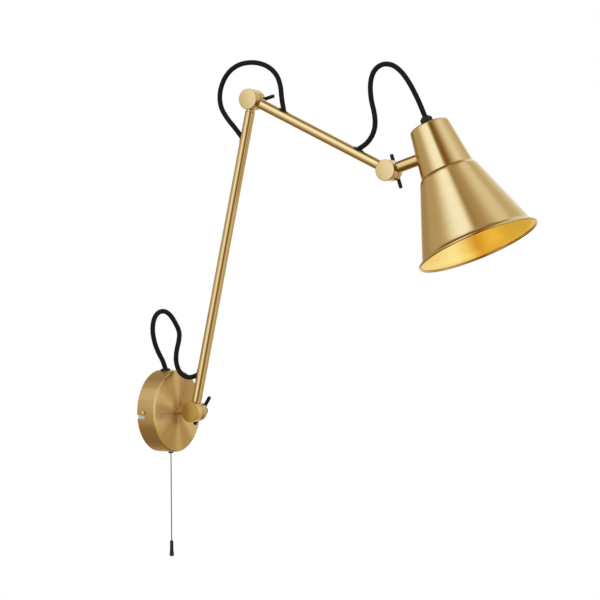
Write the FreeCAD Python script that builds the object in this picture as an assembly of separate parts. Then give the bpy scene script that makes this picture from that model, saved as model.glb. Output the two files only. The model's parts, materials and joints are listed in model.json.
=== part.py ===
import FreeCAD, Part
import math
import os

os.makedirs("parts", exist_ok=True)
V = FreeCAD.Vector

# ---------------------------------------------------------------- driving sizes, mm
# Frame: origin on the wall at the middle of the wall plate; +X right, +Y into the wall, +Z up.
# The two arms, the shade and the flex loops lie in the plane X = 0.
CAN_R = 50.0          # canopy outer radius
CAN_D = 25.5          # canopy depth
CAN_T = 1.0           # canopy sheet
CAN_EDGE = 1.8        # outer radius of the canopy's front edge
CAN_TURN = 6.0        # the canopy sits turned 6 degrees on its bayonet slots
RIM_Y = -11.0         # gland and pull cord leave the rim this far from the wall
SCREW_Y = -8.5        # side screws from the wall

PIV_B = V(0, -50.2, 0.0)       # base joint
PIV_E = V(0, -137.0, 374.7)    # elbow joint
PIV_H = V(0, -322.2, 283.6)    # head joint

DRUM_R = 12.3         # half-drum radius
FRONT_X = -11.6       # outer face of the front half-drum
REAR_X = 9.1          # outer face of the rear half-drum
GAP_X = 0.3           # half the friction washer
NECK_R = 5.4
NECK_L = 14.8         # pivot to the end of the neck
SPIGOT_L = 12.0
LAP = 0.35            # clearance round the other half-drum
STUD_R = 2.5
RUN = 0.05            # running clearance on the stud
WASHER_T = 1.0
HUB_R = 6.5
HUB_X0 = REAR_X + WASHER_T
HUB_X1 = 20.0
BAR_X = 16.3
BAR_R = 2.2
BAR_L = 41.5

TUBE_R = 6.0
TUBE_T = 1.0
ARM_R = 6.7           # sleeve between head joint and shade
ARM_DEG = 16.3        # rise of the sleeve above level

FLEX_R = 3.0          # textile flex
SLOT_S = (46.6, 337.6, 46.0, 158.8)   # grommets: distance from the foot pivot, lower pair then upper pair

SH_RIM = V(0, -435.2, 194.6)   # middle of the shade's rim
SH_TILT = 24.2        # shade axis from vertical
SH_T = 0.8
SH_TOP = 151.0
SH_TOP_R = 23.0
SH_STEP = 93.6
SH_STEP_R = 31.4
SH_LOW_R = 65.9
SH_RIM_R = 71.3

CORD_R = 0.65
CORD_X = 5.2
TOGGLE_TOP = -159.8
TOGGLE_L = 19.3


def unit(v):
    v = V(v)
    v.normalize()
    return v


def save(name, shape):
    shape = shape.removeSplitter() if not isinstance(shape, Part.Compound) else shape
    if not shape.isValid():
        print("NOT VALID", name)
    shape.exportStep("parts/%s.step" % name)
    print("%-24s solids %d  volume %.1f mm3" % (name, len(shape.Solids), shape.Volume))


def one(shape):
    if len(shape.Solids) == 1:
        return shape.Solids[0]
    return shape


def cyl(r, base, direction, h):
    return Part.makeCylinder(r, h, base, direction)


def cylx(r, x0, x1, p):
    return Part.makeCylinder(r, x1 - x0, V(x0, p.y, p.z), V(1, 0, 0))


def conex(r0, r1, x0, x1, p):
    return Part.makeCone(r0, r1, x1 - x0, V(x0, p.y, p.z), V(1, 0, 0))


def box(x0, x1, y0, y1, z0, z1):
    return Part.makeBox(x1 - x0, y1 - y0, z1 - z0, V(x0, y0, z0))


def turn(points, arcs=()):
    """Solid of revolution about local Z from (r, z) points; arcs is {index: middle point} for the edge after that point."""
    arcs = dict(arcs)
    edges = []
    n = len(points)
    for i in range(n):
        a, b = points[i], points[(i + 1) % n]
        pa, pb = V(a[0], 0, a[1]), V(b[0], 0, b[1])
        if i in arcs:
            m = arcs[i]
            edges.append(Part.Arc(pa, V(m[0], 0, m[1]), pb).toShape())
        else:
            edges.append(Part.LineSegment(pa, pb).toShape())
    face = Part.Face(Part.Wire(edges))
    return face.revolve(V(0, 0, 0), V(0, 0, 1), 360)


def place(shape, origin, zdir, xdir=V(1, 0, 0)):
    """Local Z to zdir, local X to xdir made square to it."""
    z = unit(zdir)
    x = V(xdir) - z * V(xdir).dot(z)
    x = unit(x)
    y = z.cross(x)
    m = FreeCAD.Matrix(x.x, y.x, z.x, origin.x,
                       x.y, y.y, z.y, origin.y,
                       x.z, y.z, z.z, origin.z,
                       0, 0, 0, 1)
    s = shape.copy()
    s.transformShape(m)
    return s


def hexagon(af, h, bore):
    r = af / math.sqrt(3.0)
    pts = [V(r * math.cos(math.radians(60 * k)), r * math.sin(math.radians(60 * k)), 0) for k in range(7)]
    s = Part.Face(Part.makePolygon(pts)).extrude(V(0, 0, h))
    return s.cut(Part.makeCylinder(bore, h + 2, V(0, 0, -1)))


def ring(r0, r1, z0, z1):
    return Part.makeCylinder(r1, z1 - z0, V(0, 0, z0)).cut(Part.makeCylinder(r0, z1 - z0 + 2, V(0, 0, z0 - 1)))


def stadium(length, width, z0, z1):
    """Upright slot prism, long way local X."""
    r = width / 2.0
    d = (length - width) / 2.0
    s = Part.makeBox(2 * d, width, z1 - z0, V(-d, -r, z0))
    s = s.fuse(Part.makeCylinder(r, z1 - z0, V(-d, 0, z0)))
    s = s.fuse(Part.makeCylinder(r, z1 - z0, V(d, 0, z0)))
    return s.removeSplitter()


def route(points):
    """Straight runs joined by tangent arcs, each arc as large as its two runs allow."""
    pts = [V(*p) if not isinstance(p, FreeCAD.Vector) else p for p in points]
    edges = []
    at = pts[0]
    radii = []
    for i in range(1, len(pts) - 1):
        a, b, c = pts[i - 1], pts[i], pts[i + 1]
        u, w = unit(b - a), unit(c - b)
        ang = math.acos(max(-1, min(1, u.dot(w))))
        t = 0.45 * min((b - a).Length, (c - b).Length)
        rad = t / math.tan(ang / 2)
        radii.append(rad)
        p1, p2 = b - u * t, b + w * t
        m = unit(w - u)
        centre = b + m * (rad / math.cos(ang / 2))
        mid = centre - m * rad
        edges.append(Part.LineSegment(at, p1).toShape())
        edges.append(Part.Arc(p1, mid, p2).toShape())
        at = p2
    edges.append(Part.LineSegment(at, pts[-1]).toShape())
    return Part.Wire(edges), radii


def tube(name, points, r):
    wire, radii = route(points)
    d = unit(V(*points[1]) - V(*points[0]))
    prof = Part.Wire([Part.Circle(V(*points[0]), d, r).toShape()])
    s = wire.makePipeShell([prof], True, False)
    want = math.pi * r * r * wire.Length
    runs = [(V(*points[i + 1]) - V(*points[i])).Length for i in range(len(points) - 1)]
    print("%s: line %.1f mm, volume %.1f of %.1f, smallest radius %.1f, runs %.1f-%.1f" % (
        name, wire.Length, s.Volume, want, min(radii) if radii else 0, min(runs), max(runs)))
    print("   radii", " ".join("%.1f" % q for q in radii))
    return s


U_LOW = unit(PIV_E - PIV_B)
U_UP = unit(PIV_H - PIV_E)
L_LOW = (PIV_E - PIV_B).Length
L_UP = (PIV_H - PIV_E).Length
U_ARM = V(0, -math.cos(math.radians(ARM_DEG)), math.sin(math.radians(ARM_DEG)))
N_LOW = V(0, U_LOW.z, -U_LOW.y)          # square to the lower tube, wall side
N_UP = V(0, U_UP.z, -U_UP.y)             # square to the upper tube, top side
print("lower arm %.1f mm, upper arm %.1f mm" % (L_LOW, L_UP))


# ---------------------------------------------------------------- wall bracket and canopy
strap = box(-47.6, 47.6, -1.5, 0, -10, 10)
for sx in (-1, 1):
    lug = box(min(sx * 46.1, sx * 47.6), max(sx * 46.1, sx * 47.6), -14, 0, -9, 9)
    strap = strap.fuse(lug)
for sx in (-1, 1):
    strap = strap.cut(cyl(2.02, V(sx * 44, SCREW_Y, 0), V(sx, 0, 0), 6))
    slot = place(stadium(12.0, 4.6, -1, 3), V(sx * 30, 0, 0), V(0, -1, 0))
    strap = strap.cut(slot)
strap = strap.cut(cyl(2.02, V(-15, 1, 0), V(0, -1, 0), 5))
save("wall_bracket", one(strap.removeSplitter()))

screws = []
for sx in (-1, 1):
    head = turn([(0, 0), (3.2, 0), (3.2, 0.9), (2.0, 2.0), (0, 2.2)], {2: (2.85, 1.65)})
    head = head.fuse(Part.makeCylinder(2.0, 7.0, V(0, 0, -7.0)))
    drive = Part.makeBox(4.2, 0.8, 1.2, V(-2.1, -0.4, 1.35))
    cross = Part.makeBox(0.8, 4.2, 1.2, V(-0.4, -2.1, 1.35))
    head = head.cut(drive).cut(cross)
    screws.append(one(place(head, V(sx * 50.06, SCREW_Y, 0), V(sx, 0, 0), V(0, 0, 1)).removeSplitter()))
save("bracket_side_screws", Part.makeCompound(screws))

es = turn([(0, 0), (3.6, 0), (3.6, 1.2), (2.4, 2.4), (0, 2.6)], {2: (3.2, 2.0)})
es = es.fuse(Part.makeCylinder(2.0, 1.4, V(0, 0, -1.4)))
es = es.cut(Part.makeBox(5.0, 0.9, 2, V(-2.5, -0.45, 1.6)))
save("earth_screw", one(place(es, V(-15, -1.5, 0), V(0, -1, 0)).removeSplitter()))

e = CAN_EDGE
i = e - CAN_T
k = math.sqrt(0.5)
cup = turn([(4.1, CAN_D), (CAN_R - e, CAN_D), (CAN_R, CAN_D - e), (CAN_R, 0), (CAN_R - CAN_T, 0),
            (CAN_R - CAN_T, CAN_D - e), (CAN_R - e, CAN_D - CAN_T), (4.1, CAN_D - CAN_T)],
           {1: (CAN_R - e + e * k, CAN_D - e + e * k), 5: (CAN_R - e + i * k, CAN_D - e + i * k)})
cup = place(cup, V(0, 0, 0), V(0, -1, 0))
tr = math.radians(CAN_TURN)
G_DIR = V(-math.sin(tr), 0, math.cos(tr))      # outward at the flex gland
B_DIR = V(math.sin(tr), 0, -math.cos(tr))      # outward at the pull-cord bush
zs = CAN_R * math.sin(tr)
for sx in (-1, 1):
    x0, x1 = (-51.5, -47.0) if sx < 0 else (47.0, 51.5)
    # bayonet slot: in from the back edge, then round to the screw
    za, zb = (-zs - 2.3, -zs + 2.3) if sx < 0 else (zs - 2.3, zs + 2.3)
    cup = cup.cut(box(x0, x1, SCREW_Y - 2.3, 1, za, zb))
    za, zb = (-zs - 2.3, 2.3) if sx < 0 else (-2.3, zs + 2.3)
    cup = cup.cut(box(x0, x1, SCREW_Y - 2.3, SCREW_Y + 2.3, za, zb))
cup = cup.cut(cyl(4.52, V(0, RIM_Y, 0) + G_DIR * 45, G_DIR, 10))
cup = cup.cut(cyl(2.6, V(0, RIM_Y, 0) + B_DIR * 45, B_DIR, 10))
save("canopy", one(cup.removeSplitter()))

# flex gland on top of the rim: flange outside, threaded shank and locknut inside
gl = turn([(3.02, -7.5), (4.5, -7.5), (4.5, 0.02), (5.9, 0.02), (5.9, 1.3), (5.2, 2.1), (3.02, 2.1)])
save("flex_gland", one(place(gl, V(0, RIM_Y, 0) + G_DIR * CAN_R, G_DIR, V(0, -1, 0))))
gn = hexagon(12.0, 3.0, 4.52)
save("gland_locknut", one(place(gn, V(0, RIM_Y, 0) + G_DIR * (CAN_R - CAN_T - 3.6), G_DIR, V(0, -1, 0))))

# three-way terminal block behind the canopy
tb = box(-17, 11, -18, -4, 14, 28)
for xk in (-12.0, -3.0, 6.0):
    tb = tb.cut(cyl(1.8, V(xk, -14.5, 13), V(0, 0, 1), 3.5))
    tb = tb.cut(cyl(1.9, V(xk, -19, 18.0), V(0, 1, 0), 4.0))
    tb = tb.cut(cyl(1.9, V(xk, -19, 24.0), V(0, 1, 0), 4.0))
save("terminal_block", one(tb))
ts = []
for xk in (-12.0, -3.0, 6.0):
    for zk in (18.0, 24.0):
        t = cyl(1.8, V(xk, -17.4, zk), V(0, 1, 0), 2.3)
        t = t.cut(box(xk - 2, xk + 2, -18, -16.8, zk - 0.3, zk + 0.3))
        ts.append(one(t))
save("terminal_screws", Part.makeCompound(ts))

# flex tail: through the gland to the terminal block
tail = cyl(FLEX_R, V(0, RIM_Y, 0) + G_DIR * 25.0, G_DIR, CAN_R + 2.1 - 25.0)
tail = tail.cut(box(-30, 30, -30, 5, 0, 28))
save("flex_tail", one(tail))

# pull-cord switch
sb = box(CORD_X - 14, CORD_X + 14, -19, -3, -41, -22)
sb = sb.cut(box(CORD_X - 5, CORD_X + 5, -15, -7, -39.5, -23.5))
sb = sb.cut(cyl(1.7, V(CORD_X, RIM_Y, -42), V(0, 0, 1), 4))
save("switch_body", one(sb))
sl = box(CORD_X - 4.8, CORD_X + 4.8, -14.8, -7.2, -30.6, -25.0)
sl = sl.cut(box(CORD_X - 5, CORD_X - 3.2, -16, -6, -31, -28.6)).cut(box(CORD_X + 3.2, CORD_X + 5, -16, -6, -31, -28.6))
save("switch_slider", one(sl))
# return spring, drawn as the closed sleeve it fills
spring = ring(1.9, 3.1, -39.4, -30.7)
spring.translate(V(CORD_X, RIM_Y, 0))
save("switch_spring", one(spring))

bu = turn([(1.35, -5.5), (2.55, -5.5), (2.55, 0.02), (3.5, 0.02), (3.5, 1.5), (2.6, 2.6), (1.35, 2.6)])
save("cord_bush", one(place(bu, V(0, RIM_Y, 0) + B_DIR * CAN_R, B_DIR, V(0, -1, 0))))
bn = hexagon(8.0, 2.2, 2.6)
save("cord_bush_nut", one(place(bn, V(0, RIM_Y, 0) + B_DIR * (CAN_R - CAN_T - 2.7), B_DIR, V(0, -1, 0))))

pc = cyl(CORD_R, V(CORD_X, RIM_Y, -30.6), V(0, 0, -1), -30.6 - TOGGLE_TOP + 0.0)
save("pull_cord", one(pc))
h = TOGGLE_L
tg = turn([(0, 0), (1.2, 0), (2.1, -1.6), (2.15, -h * 0.62), (2.85, -h), (2.2, -h), (0.0, -h + 2.4)],
          {1: (1.85, -0.55)})
tg.translate(V(CORD_X, RIM_Y, TOGGLE_TOP))
save("cord_toggle", one(tg))


# ---------------------------------------------------------------- joints
def half_drum(side, pivot, direction, neck_r=NECK_R, neck_l=NECK_L, spigot=True):
    """One half of a lap joint: a disc on its own side of the middle plane, and a neck centred on that plane."""
    if side == "front":
        body = cylx(DRUM_R, FRONT_X + 0.7, -GAP_X, pivot)
        body = body.fuse(conex(DRUM_R - 0.7, DRUM_R, FRONT_X, FRONT_X + 0.7, pivot))
    else:
        body = cylx(DRUM_R, GAP_X, REAR_X - 0.7, pivot)
        body = body.fuse(conex(DRUM_R, DRUM_R - 0.7, REAR_X - 0.7, REAR_X, pivot))
    neck = cyl(neck_r, pivot, direction, neck_l - 0.3)
    neck = neck.fuse(Part.makeCone(neck_r, neck_r - 0.3, 0.3, pivot + direction * (neck_l - 0.3), direction))
    if side == "front":
        neck = neck.cut(cylx(DRUM_R + LAP, -GAP_X, 30, pivot))
        neck = neck.cut(cylx(DRUM_R - 1, -30, FRONT_X + 0.3, pivot))
    else:
        neck = neck.cut(cylx(DRUM_R + LAP, -30, GAP_X, pivot))
        neck = neck.cut(cylx(DRUM_R - 1, REAR_X - 0.3, 30, pivot))
    s = body.fuse(neck)
    if spigot:
        s = s.fuse(cyl(TUBE_R - TUBE_T - 0.03, pivot + direction * (neck_l - 1), direction, SPIGOT_L + 1))
    if side == "front":
        s = s.cut(cylx(STUD_R + 0.02, FRONT_X + 3.2, 1, pivot))
    else:
        s = s.cut(cylx(STUD_R + RUN, -1, REAR_X + 1, pivot))
    return one(s.removeSplitter())


def stud(pivot):
    s = cylx(STUD_R, FRONT_X + 3.4, 12.9, pivot)
    return one(s.fuse(conex(STUD_R, STUD_R - 0.4, 12.9, 13.3, pivot)).removeSplitter())


def friction_washer(pivot):
    return one(cylx(9.6, -GAP_X, GAP_X, pivot).cut(cylx(STUD_R + RUN, -2, 2, pivot)))


def clamp_washer(pivot):
    return one(cylx(5.6, REAR_X, REAR_X + WASHER_T, pivot).cut(cylx(STUD_R + RUN, REAR_X - 1, REAR_X + 3, pivot)))


def knob(pivot, d):
    d = unit(V(0, *d))
    hub = cylx(HUB_R, HUB_X0 + 0.5, HUB_X1 - 1.0, pivot)
    hub = hub.fuse(conex(HUB_R - 0.5, HUB_R, HUB_X0, HUB_X0 + 0.5, pivot))
    hub = hub.fuse(conex(HUB_R, HUB_R - 1.0, HUB_X1 - 1.0, HUB_X1, pivot))
    hub = hub.cut(cylx(STUD_R + RUN, HUB_X0 - 1, 13.6, pivot))
    c = V(BAR_X, pivot.y, pivot.z)
    hub = hub.cut(cyl(BAR_R + 0.02, c - d * 12, d, 24))
    half = BAR_L / 2 - BAR_R
    bar = cyl(BAR_R, c - d * half, d, 2 * half)
    bar = bar.fuse(Part.makeSphere(BAR_R, c - d * half)).fuse(Part.makeSphere(BAR_R, c + d * half))
    return one(hub.removeSplitter()), one(bar.removeSplitter())


# base joint: the front half is on the canopy's stem
TOWALL = V(0, 1, 0)
bk = half_drum("front", PIV_B, TOWALL, spigot=False)
stem0 = PIV_B + TOWALL * (NECK_L - 1)
bk = bk.fuse(cyl(5.0, stem0, TOWALL, -CAN_D - stem0.y))
bk = bk.fuse(cyl(4.0, V(0, -CAN_D - 0.5, 0), TOWALL, 9.5))
save("base_stem_joint", one(bk.removeSplitter()))
w = ring(4.08, 8.0, 0, 1.6)
save("stem_washer", one(place(w, V(0, -CAN_D + CAN_T, 0), TOWALL)))
save("stem_nut", one(place(hexagon(13.0, 5.6, 4.02), V(0, -CAN_D + CAN_T + 1.6, 0), TOWALL)))
save("base_stud", stud(PIV_B))

save("lower_foot_joint", half_drum("rear", PIV_B, U_LOW))
save("base_friction_washer", friction_washer(PIV_B))
save("base_clamp_washer", clamp_washer(PIV_B))
save("lower_head_joint", half_drum("front", PIV_E, U_LOW * -1))
save("elbow_stud", stud(PIV_E))
save("upper_foot_joint", half_drum("rear", PIV_E, U_UP))
save("elbow_friction_washer", friction_washer(PIV_E))
save("elbow_clamp_washer", clamp_washer(PIV_E))
save("upper_head_joint", half_drum("front", PIV_H, U_UP * -1))
save("head_stud", stud(PIV_H))
save("head_friction_washer", friction_washer(PIV_H))
save("head_clamp_washer", clamp_washer(PIV_H))
for nm, pv, d in (("base", PIV_B, (-0.552, 0.834)), ("elbow", PIV_E, (-0.974, 0.226)), ("head", PIV_H, (0.297, 0.955))):
    hub, bar = knob(pv, d)
    save("%s_knob_hub" % nm, hub)
    save("%s_knob_bar" % nm, bar)


# ---------------------------------------------------------------- arm tubes and grommets
def arm(pivot, u, length, n, slots):
    t = cyl(TUBE_R, pivot + u * NECK_L, u, length - 2 * NECK_L)
    t = t.cut(cyl(TUBE_R - TUBE_T, pivot + u * (NECK_L - 1), u, length))
    gs = []
    for sd in slots:
        at = pivot + u * sd
        cut = place(stadium(11.24, 7.44, 0, 10), at, n, u)
        t = t.cut(cut)
        fl = cyl(TUBE_R + 0.4, at - u * 8, u, 16).cut(cyl(TUBE_R, at - u * 9, u, 18))
        fl = fl.common(place(stadium(12.8, 9.0, 0, 12), at, n, u))
        bd = cyl(TUBE_R + 0.1, at - u * 8, u, 16).cut(cyl(TUBE_R - TUBE_T, at - u * 9, u, 18))
        bd = bd.common(place(stadium(11.2, 7.4, 0, 12), at, n, u))
        g = fl.fuse(bd).removeSplitter()
        g = g.cut(place(stadium(9.8, 6.2, 0, 14), at, n, u))
        gs.append(one(g))
    return one(t.removeSplitter()), Part.makeCompound(gs)


lt, lg = arm(PIV_B, U_LOW, L_LOW, N_LOW, SLOT_S[:2])
save("lower_tube", lt)
save("lower_grommets", lg)
ut, ug = arm(PIV_E, U_UP, L_UP, N_UP, SLOT_S[2:])
save("upper_tube", ut)
save("upper_grommets", ug)


def run_in_tube(name, pivot, u, n, s0, s1, lean0, lean1):
    """Flex inside an arm: in through one grommet, along the middle of the bore, out through the other."""
    a = pivot + u * s0 + n * (TUBE_R + 0.38)
    b = pivot + u * s1 + n * (TUBE_R + 0.38)
    p = [a, pivot + u * (s0 + lean0), pivot + u * (s1 - lean1), b]
    s = tube(name, [tuple(q) for q in p], FLEX_R)
    s = s.common(cyl(TUBE_R + 0.36, pivot + u * 10, u, s1 + 20))
    return one(s.removeSplitter())


save("lower_flex_run", run_in_tube("lower_flex_run", PIV_B, U_LOW, N_LOW, SLOT_S[0] - 1.5, SLOT_S[1] + 1.5, 6.0, 6.0))
save("upper_flex_run", run_in_tube("upper_flex_run", PIV_E, U_UP, N_UP, SLOT_S[2] - 1.5, SLOT_S[3] + 1.5, 6.0, 6.0))


# ---------------------------------------------------------------- flex loops
LOOP_BASE = [
    (-5.44, -11.0, 51.86), (-7.9, -9.6, 61.0), (-15.2, -7.6, 71.6), (-26.0, -9.2, 85.2), (-31.7, -10.4, 101.2),
    (-28.5, -11.4, 115.8), (-16.3, -12.7, 123.4), (-2.5, -15.2, 120.0), (4.6, -19.7, 107.5), (2.6, -27.2, 96.5),
    (-4.1, -30.5, 85.5), (-8.7, -29.6, 72.8), (-6.7, -27.6, 59.6), (-4.5, -31.2, 47.4), (-2.5, -40.1, 41.1),
    (-1.1, -51.5, 42.3), (0.0, -58.4, 46.8)]
LOOP_ELBOW = [
    (0, -124.3, 327.2), (0, -112.3, 341.8), (0, -99.4, 355.3), (0, -90.3, 370.4), (0, -90.4, 389.3),
    (0, -99.9, 407.4), (0, -116.3, 418.0), (0, -137.5, 419.9), (0, -157.1, 414.7), (0, -170.8, 403.7),
    (0, -176.7, 389.4), (0, -177.9, 372.0), (0, -181.8, 354.2)]
LOOP_HEAD = [
    (0, -274.8, 307.0), (0, -288.7, 312.4), (0, -299.4, 322.7), (0, -304.3, 335.1), (0, -303.3, 350.0),
    (0, -298.5, 367.0), (0, -297.5, 386.0), (0, -302.7, 399.9), (0, -313.9, 406.6), (0, -327.3, 404.7),
    (0, -338.2, 396.5), (0, -347.6, 384.6), (0, -355.2, 371.5), (0, -362.3, 357.8), (0, -368.55, 342.91)]

la = tube("flex_loop_base", LOOP_BASE, FLEX_R)
la = la.cut(cyl(TUBE_R + 0.42, PIV_B + U_LOW * 20, U_LOW, 60))
save("flex_loop_base", one(la.Solids[0] if len(la.Solids) == 1 else sorted(la.Solids, key=lambda q: -q.Volume)[0]))
lb = tube("flex_loop_elbow", LOOP_ELBOW, FLEX_R)
lb = lb.cut(cyl(TUBE_R + 0.42, PIV_B + U_LOW * 300, U_LOW, 60))
lb = lb.cut(cyl(TUBE_R + 0.42, PIV_E + U_UP * 25, U_UP, 60))
save("flex_loop_elbow", sorted(lb.Solids, key=lambda q: -q.Volume)[0])
lc = tube("flex_loop_head", LOOP_HEAD, FLEX_R)
lc = lc.cut(cyl(TUBE_R + 0.42, PIV_E + U_UP * 120, U_UP, 60))
save("flex_loop_head", sorted(lc.Solids, key=lambda q: -q.Volume)[0])


# ---------------------------------------------------------------- head: joint, sleeve, shade, lampholder, lamp
st = math.radians(SH_TILT)
A = V(0, math.sin(st), math.cos(st))       # shade axis, rim to top


def in_shade(shape):
    return place(shape, SH_RIM, A)


# cone of the upper part: radius at height L
def r_up(L):
    return SH_STEP_R + (SH_TOP_R - SH_STEP_R) * (L - SH_STEP) / (SH_TOP - SH_STEP)


t = SH_T
cr = 3.2
k = math.sqrt(0.5)
ct = r_up(SH_TOP - cr)
outer = [(5.1, SH_TOP), (ct - cr, SH_TOP), (ct, SH_TOP - cr), (r_up(SH_STEP + 0.6), SH_STEP + 0.6), (31.5, SH_STEP + 0.1),
         (35.55, SH_STEP - 5.6), (SH_LOW_R, 5.9), (67.9, 3.5), (69.9, 2.9)]
inner = [(69.9, 2.9 - t), (67.4, 2.9), (SH_LOW_R - t * 1.05, 5.3), (34.72, SH_STEP - 5.8), (30.95, SH_STEP - 0.6),
         (r_up(SH_STEP + 0.9) - t, SH_STEP + 0.7), (ct - t, SH_TOP - cr), (ct - cr, SH_TOP - t), (5.1, SH_TOP - t)]
pts = outer + inner
arcs = {1: (ct - cr + cr * k, SH_TOP - cr + cr * k), 4: (33.97, SH_STEP - 2.37), 12: (33.27, SH_STEP - 2.9),
        15: (ct - cr + (cr - t) * k, SH_TOP - cr + (cr - t) * k)}
shell = turn(pts, arcs)
bead = Part.makeTorus(SH_RIM_R - 1.4, 1.4, V(0, 0, 1.5), V(0, 0, 1))
shell = shell.fuse(bead).removeSplitter()
shade = in_shade(shell)
# hole for the sleeve's screw, square to the sleeve
shade = shade.cut(cyl(4.1, PIV_H + U_ARM * 30, U_ARM, 20))
save("shade", one(shade))

# head joint: rear half-drum with its screw through the sleeve into the shade
N_SH = V(0, math.cos(st), -math.sin(st))
hk = half_drum("rear", PIV_H, U_ARM, neck_r=6.2, spigot=False)
hk = hk.fuse(cyl(4.0, PIV_H + U_ARM * (NECK_L - 1), U_ARM, 35.0))
save("head_joint", one(hk.removeSplitter()))
sleeve = cyl(ARM_R, PIV_H + U_ARM * NECK_L, U_ARM, 32).cut(cyl(4.06, PIV_H + U_ARM * (NECK_L - 1), U_ARM, 40))
outside = in_shade(Part.makeCone(SH_STEP_R + 0.02, r_up(SH_TOP) + 0.02, SH_TOP - SH_STEP, V(0, 0, SH_STEP)))
sleeve = sleeve.cut(outside)
sleeve = sorted(sleeve.Solids, key=lambda q: -q.Volume)[0]
save("head_sleeve", sleeve)
# where the sleeve's axis meets the inside of the cone
dist = None
q = 30.0
while q < 60:
    P = PIV_H + U_ARM * q
    rel = P - SH_RIM
    L = rel.dot(A)
    if (rel - A * L).Length < r_up(L) - t:
        dist = q
        break
    q += 0.02
print("sleeve meets shade inside at %.2f mm from the head pivot, L %.1f" % (dist, L))
nw = ring(4.06, 6.0, 0.9, 1.9)
save("sleeve_washer", one(place(nw, PIV_H + U_ARM * dist, U_ARM)))
save("sleeve_nut", one(place(hexagon(11.0, 4.0, 4.02), PIV_H + U_ARM * (dist + 1.92), U_ARM)))

# cord grip on the shade's top, with its nut
gp = turn([(3.04, -9.0), (5.0, -9.0), (5.0, 0), (7.3, 0), (7.3, 8.6), (6.6, 9.5), (5.3, 10.2), (4.7, 11.6), (3.04, 11.6)])
gp.translate(V(0, 0, SH_TOP))
save("cord_grip", one(in_shade(gp)))
gpn = ring(5.04, 8.4, SH_TOP - SH_T - 2.4, SH_TOP - SH_T)
save("cord_grip_nut", one(in_shade(gpn)))

# lampholder: cap and body, hung on the grip's shank
hc = turn([(5.05, SH_TOP - 3.3), (9.0, SH_TOP - 3.3), (13.2, SH_TOP - 8.0), (13.6, 127.0), (11.0, 127.0), (11.0, SH_TOP - 9.5), (5.05, SH_TOP - 6.0)])
save("lampholder_cap", one(in_shade(hc)))
hb = turn([(0, 126.9), (13.4, 126.9), (13.4, 118.0), (14.1, 117.6), (14.1, 98.0), (13.0, 96.8), (7.1, 96.8), (7.1, 121.5), (0, 121.5)])
save("lampholder_body", one(in_shade(hb)))
# lamp: screw cap, collar, globe
lc1 = turn([(0, 96.6), (7.0, 96.6), (7.0, 114.0), (4.5, 117.0), (2.6, 118.6), (0, 118.8)])
save("lamp_cap", one(in_shade(lc1)))
lc2 = turn([(0, 96.5), (9.0, 96.5), (12.0, 94.5), (19.4, 80.6), (0, 80.6)])
save("lamp_collar", one(in_shade(lc2)))
gr = 22.5
gz = 69.1
zt = 80.5
rt = math.sqrt(gr * gr - (zt - gz) ** 2)
gi = gr - 1.0
ri = math.sqrt(gi * gi - (zt - gz) ** 2)
globe = turn([(ri, zt), (rt, zt), (0, gz - gr), (0, gz - gi)], {1: (gr, gz), 3: (gi, gz)})
save("lamp_globe", one(in_shade(globe)))
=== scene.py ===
import json
import math

import bmesh
import bpy
import numpy as np
from mathutils import Matrix, Vector


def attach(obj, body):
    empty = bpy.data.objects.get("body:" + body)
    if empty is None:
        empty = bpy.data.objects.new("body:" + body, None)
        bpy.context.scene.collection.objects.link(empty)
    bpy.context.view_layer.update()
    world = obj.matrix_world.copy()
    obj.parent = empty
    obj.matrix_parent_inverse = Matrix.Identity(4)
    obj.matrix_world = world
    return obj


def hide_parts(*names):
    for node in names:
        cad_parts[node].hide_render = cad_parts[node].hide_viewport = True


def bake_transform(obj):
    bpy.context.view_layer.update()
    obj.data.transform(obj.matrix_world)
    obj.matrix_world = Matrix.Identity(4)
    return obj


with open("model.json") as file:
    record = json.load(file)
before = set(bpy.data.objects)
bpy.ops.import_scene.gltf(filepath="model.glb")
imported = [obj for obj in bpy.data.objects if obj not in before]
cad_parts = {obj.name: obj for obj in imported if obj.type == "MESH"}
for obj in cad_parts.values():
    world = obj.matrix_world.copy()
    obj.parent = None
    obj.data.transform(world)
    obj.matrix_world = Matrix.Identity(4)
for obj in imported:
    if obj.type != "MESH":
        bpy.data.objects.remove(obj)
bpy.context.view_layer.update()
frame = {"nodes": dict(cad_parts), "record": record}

scene = bpy.context.scene
MM = 0.001


def V(*p):
    return Vector(p)


# ---------------------------------------------------------------- camera
C = V(-2014.9695, -1417.8591, 155.3822) * MM
RIGHT = V(0.51683456, -0.85605366, -0.00736006)
UP = V(0.01105205, -0.00192455, 0.99993707)
BACK = V(-0.85601395, -0.51688338, 0.00846647)
cam_data = bpy.data.cameras.new("camera")
cam_data.sensor_width = 36.0
cam_data.sensor_fit = "HORIZONTAL"
cam_data.lens = 119.88
cam_data.clip_end = 50.0
cam = bpy.data.objects.new("camera", cam_data)
scene.collection.objects.link(cam)
m = Matrix.Identity(4)
for r in range(3):
    m[r][0], m[r][1], m[r][2], m[r][3] = RIGHT[r], UP[r], BACK[r], C[r]
cam.matrix_world = m
scene.camera = cam
scene.view_settings.view_transform = "Standard"
scene.view_settings.look = "None"

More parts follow.
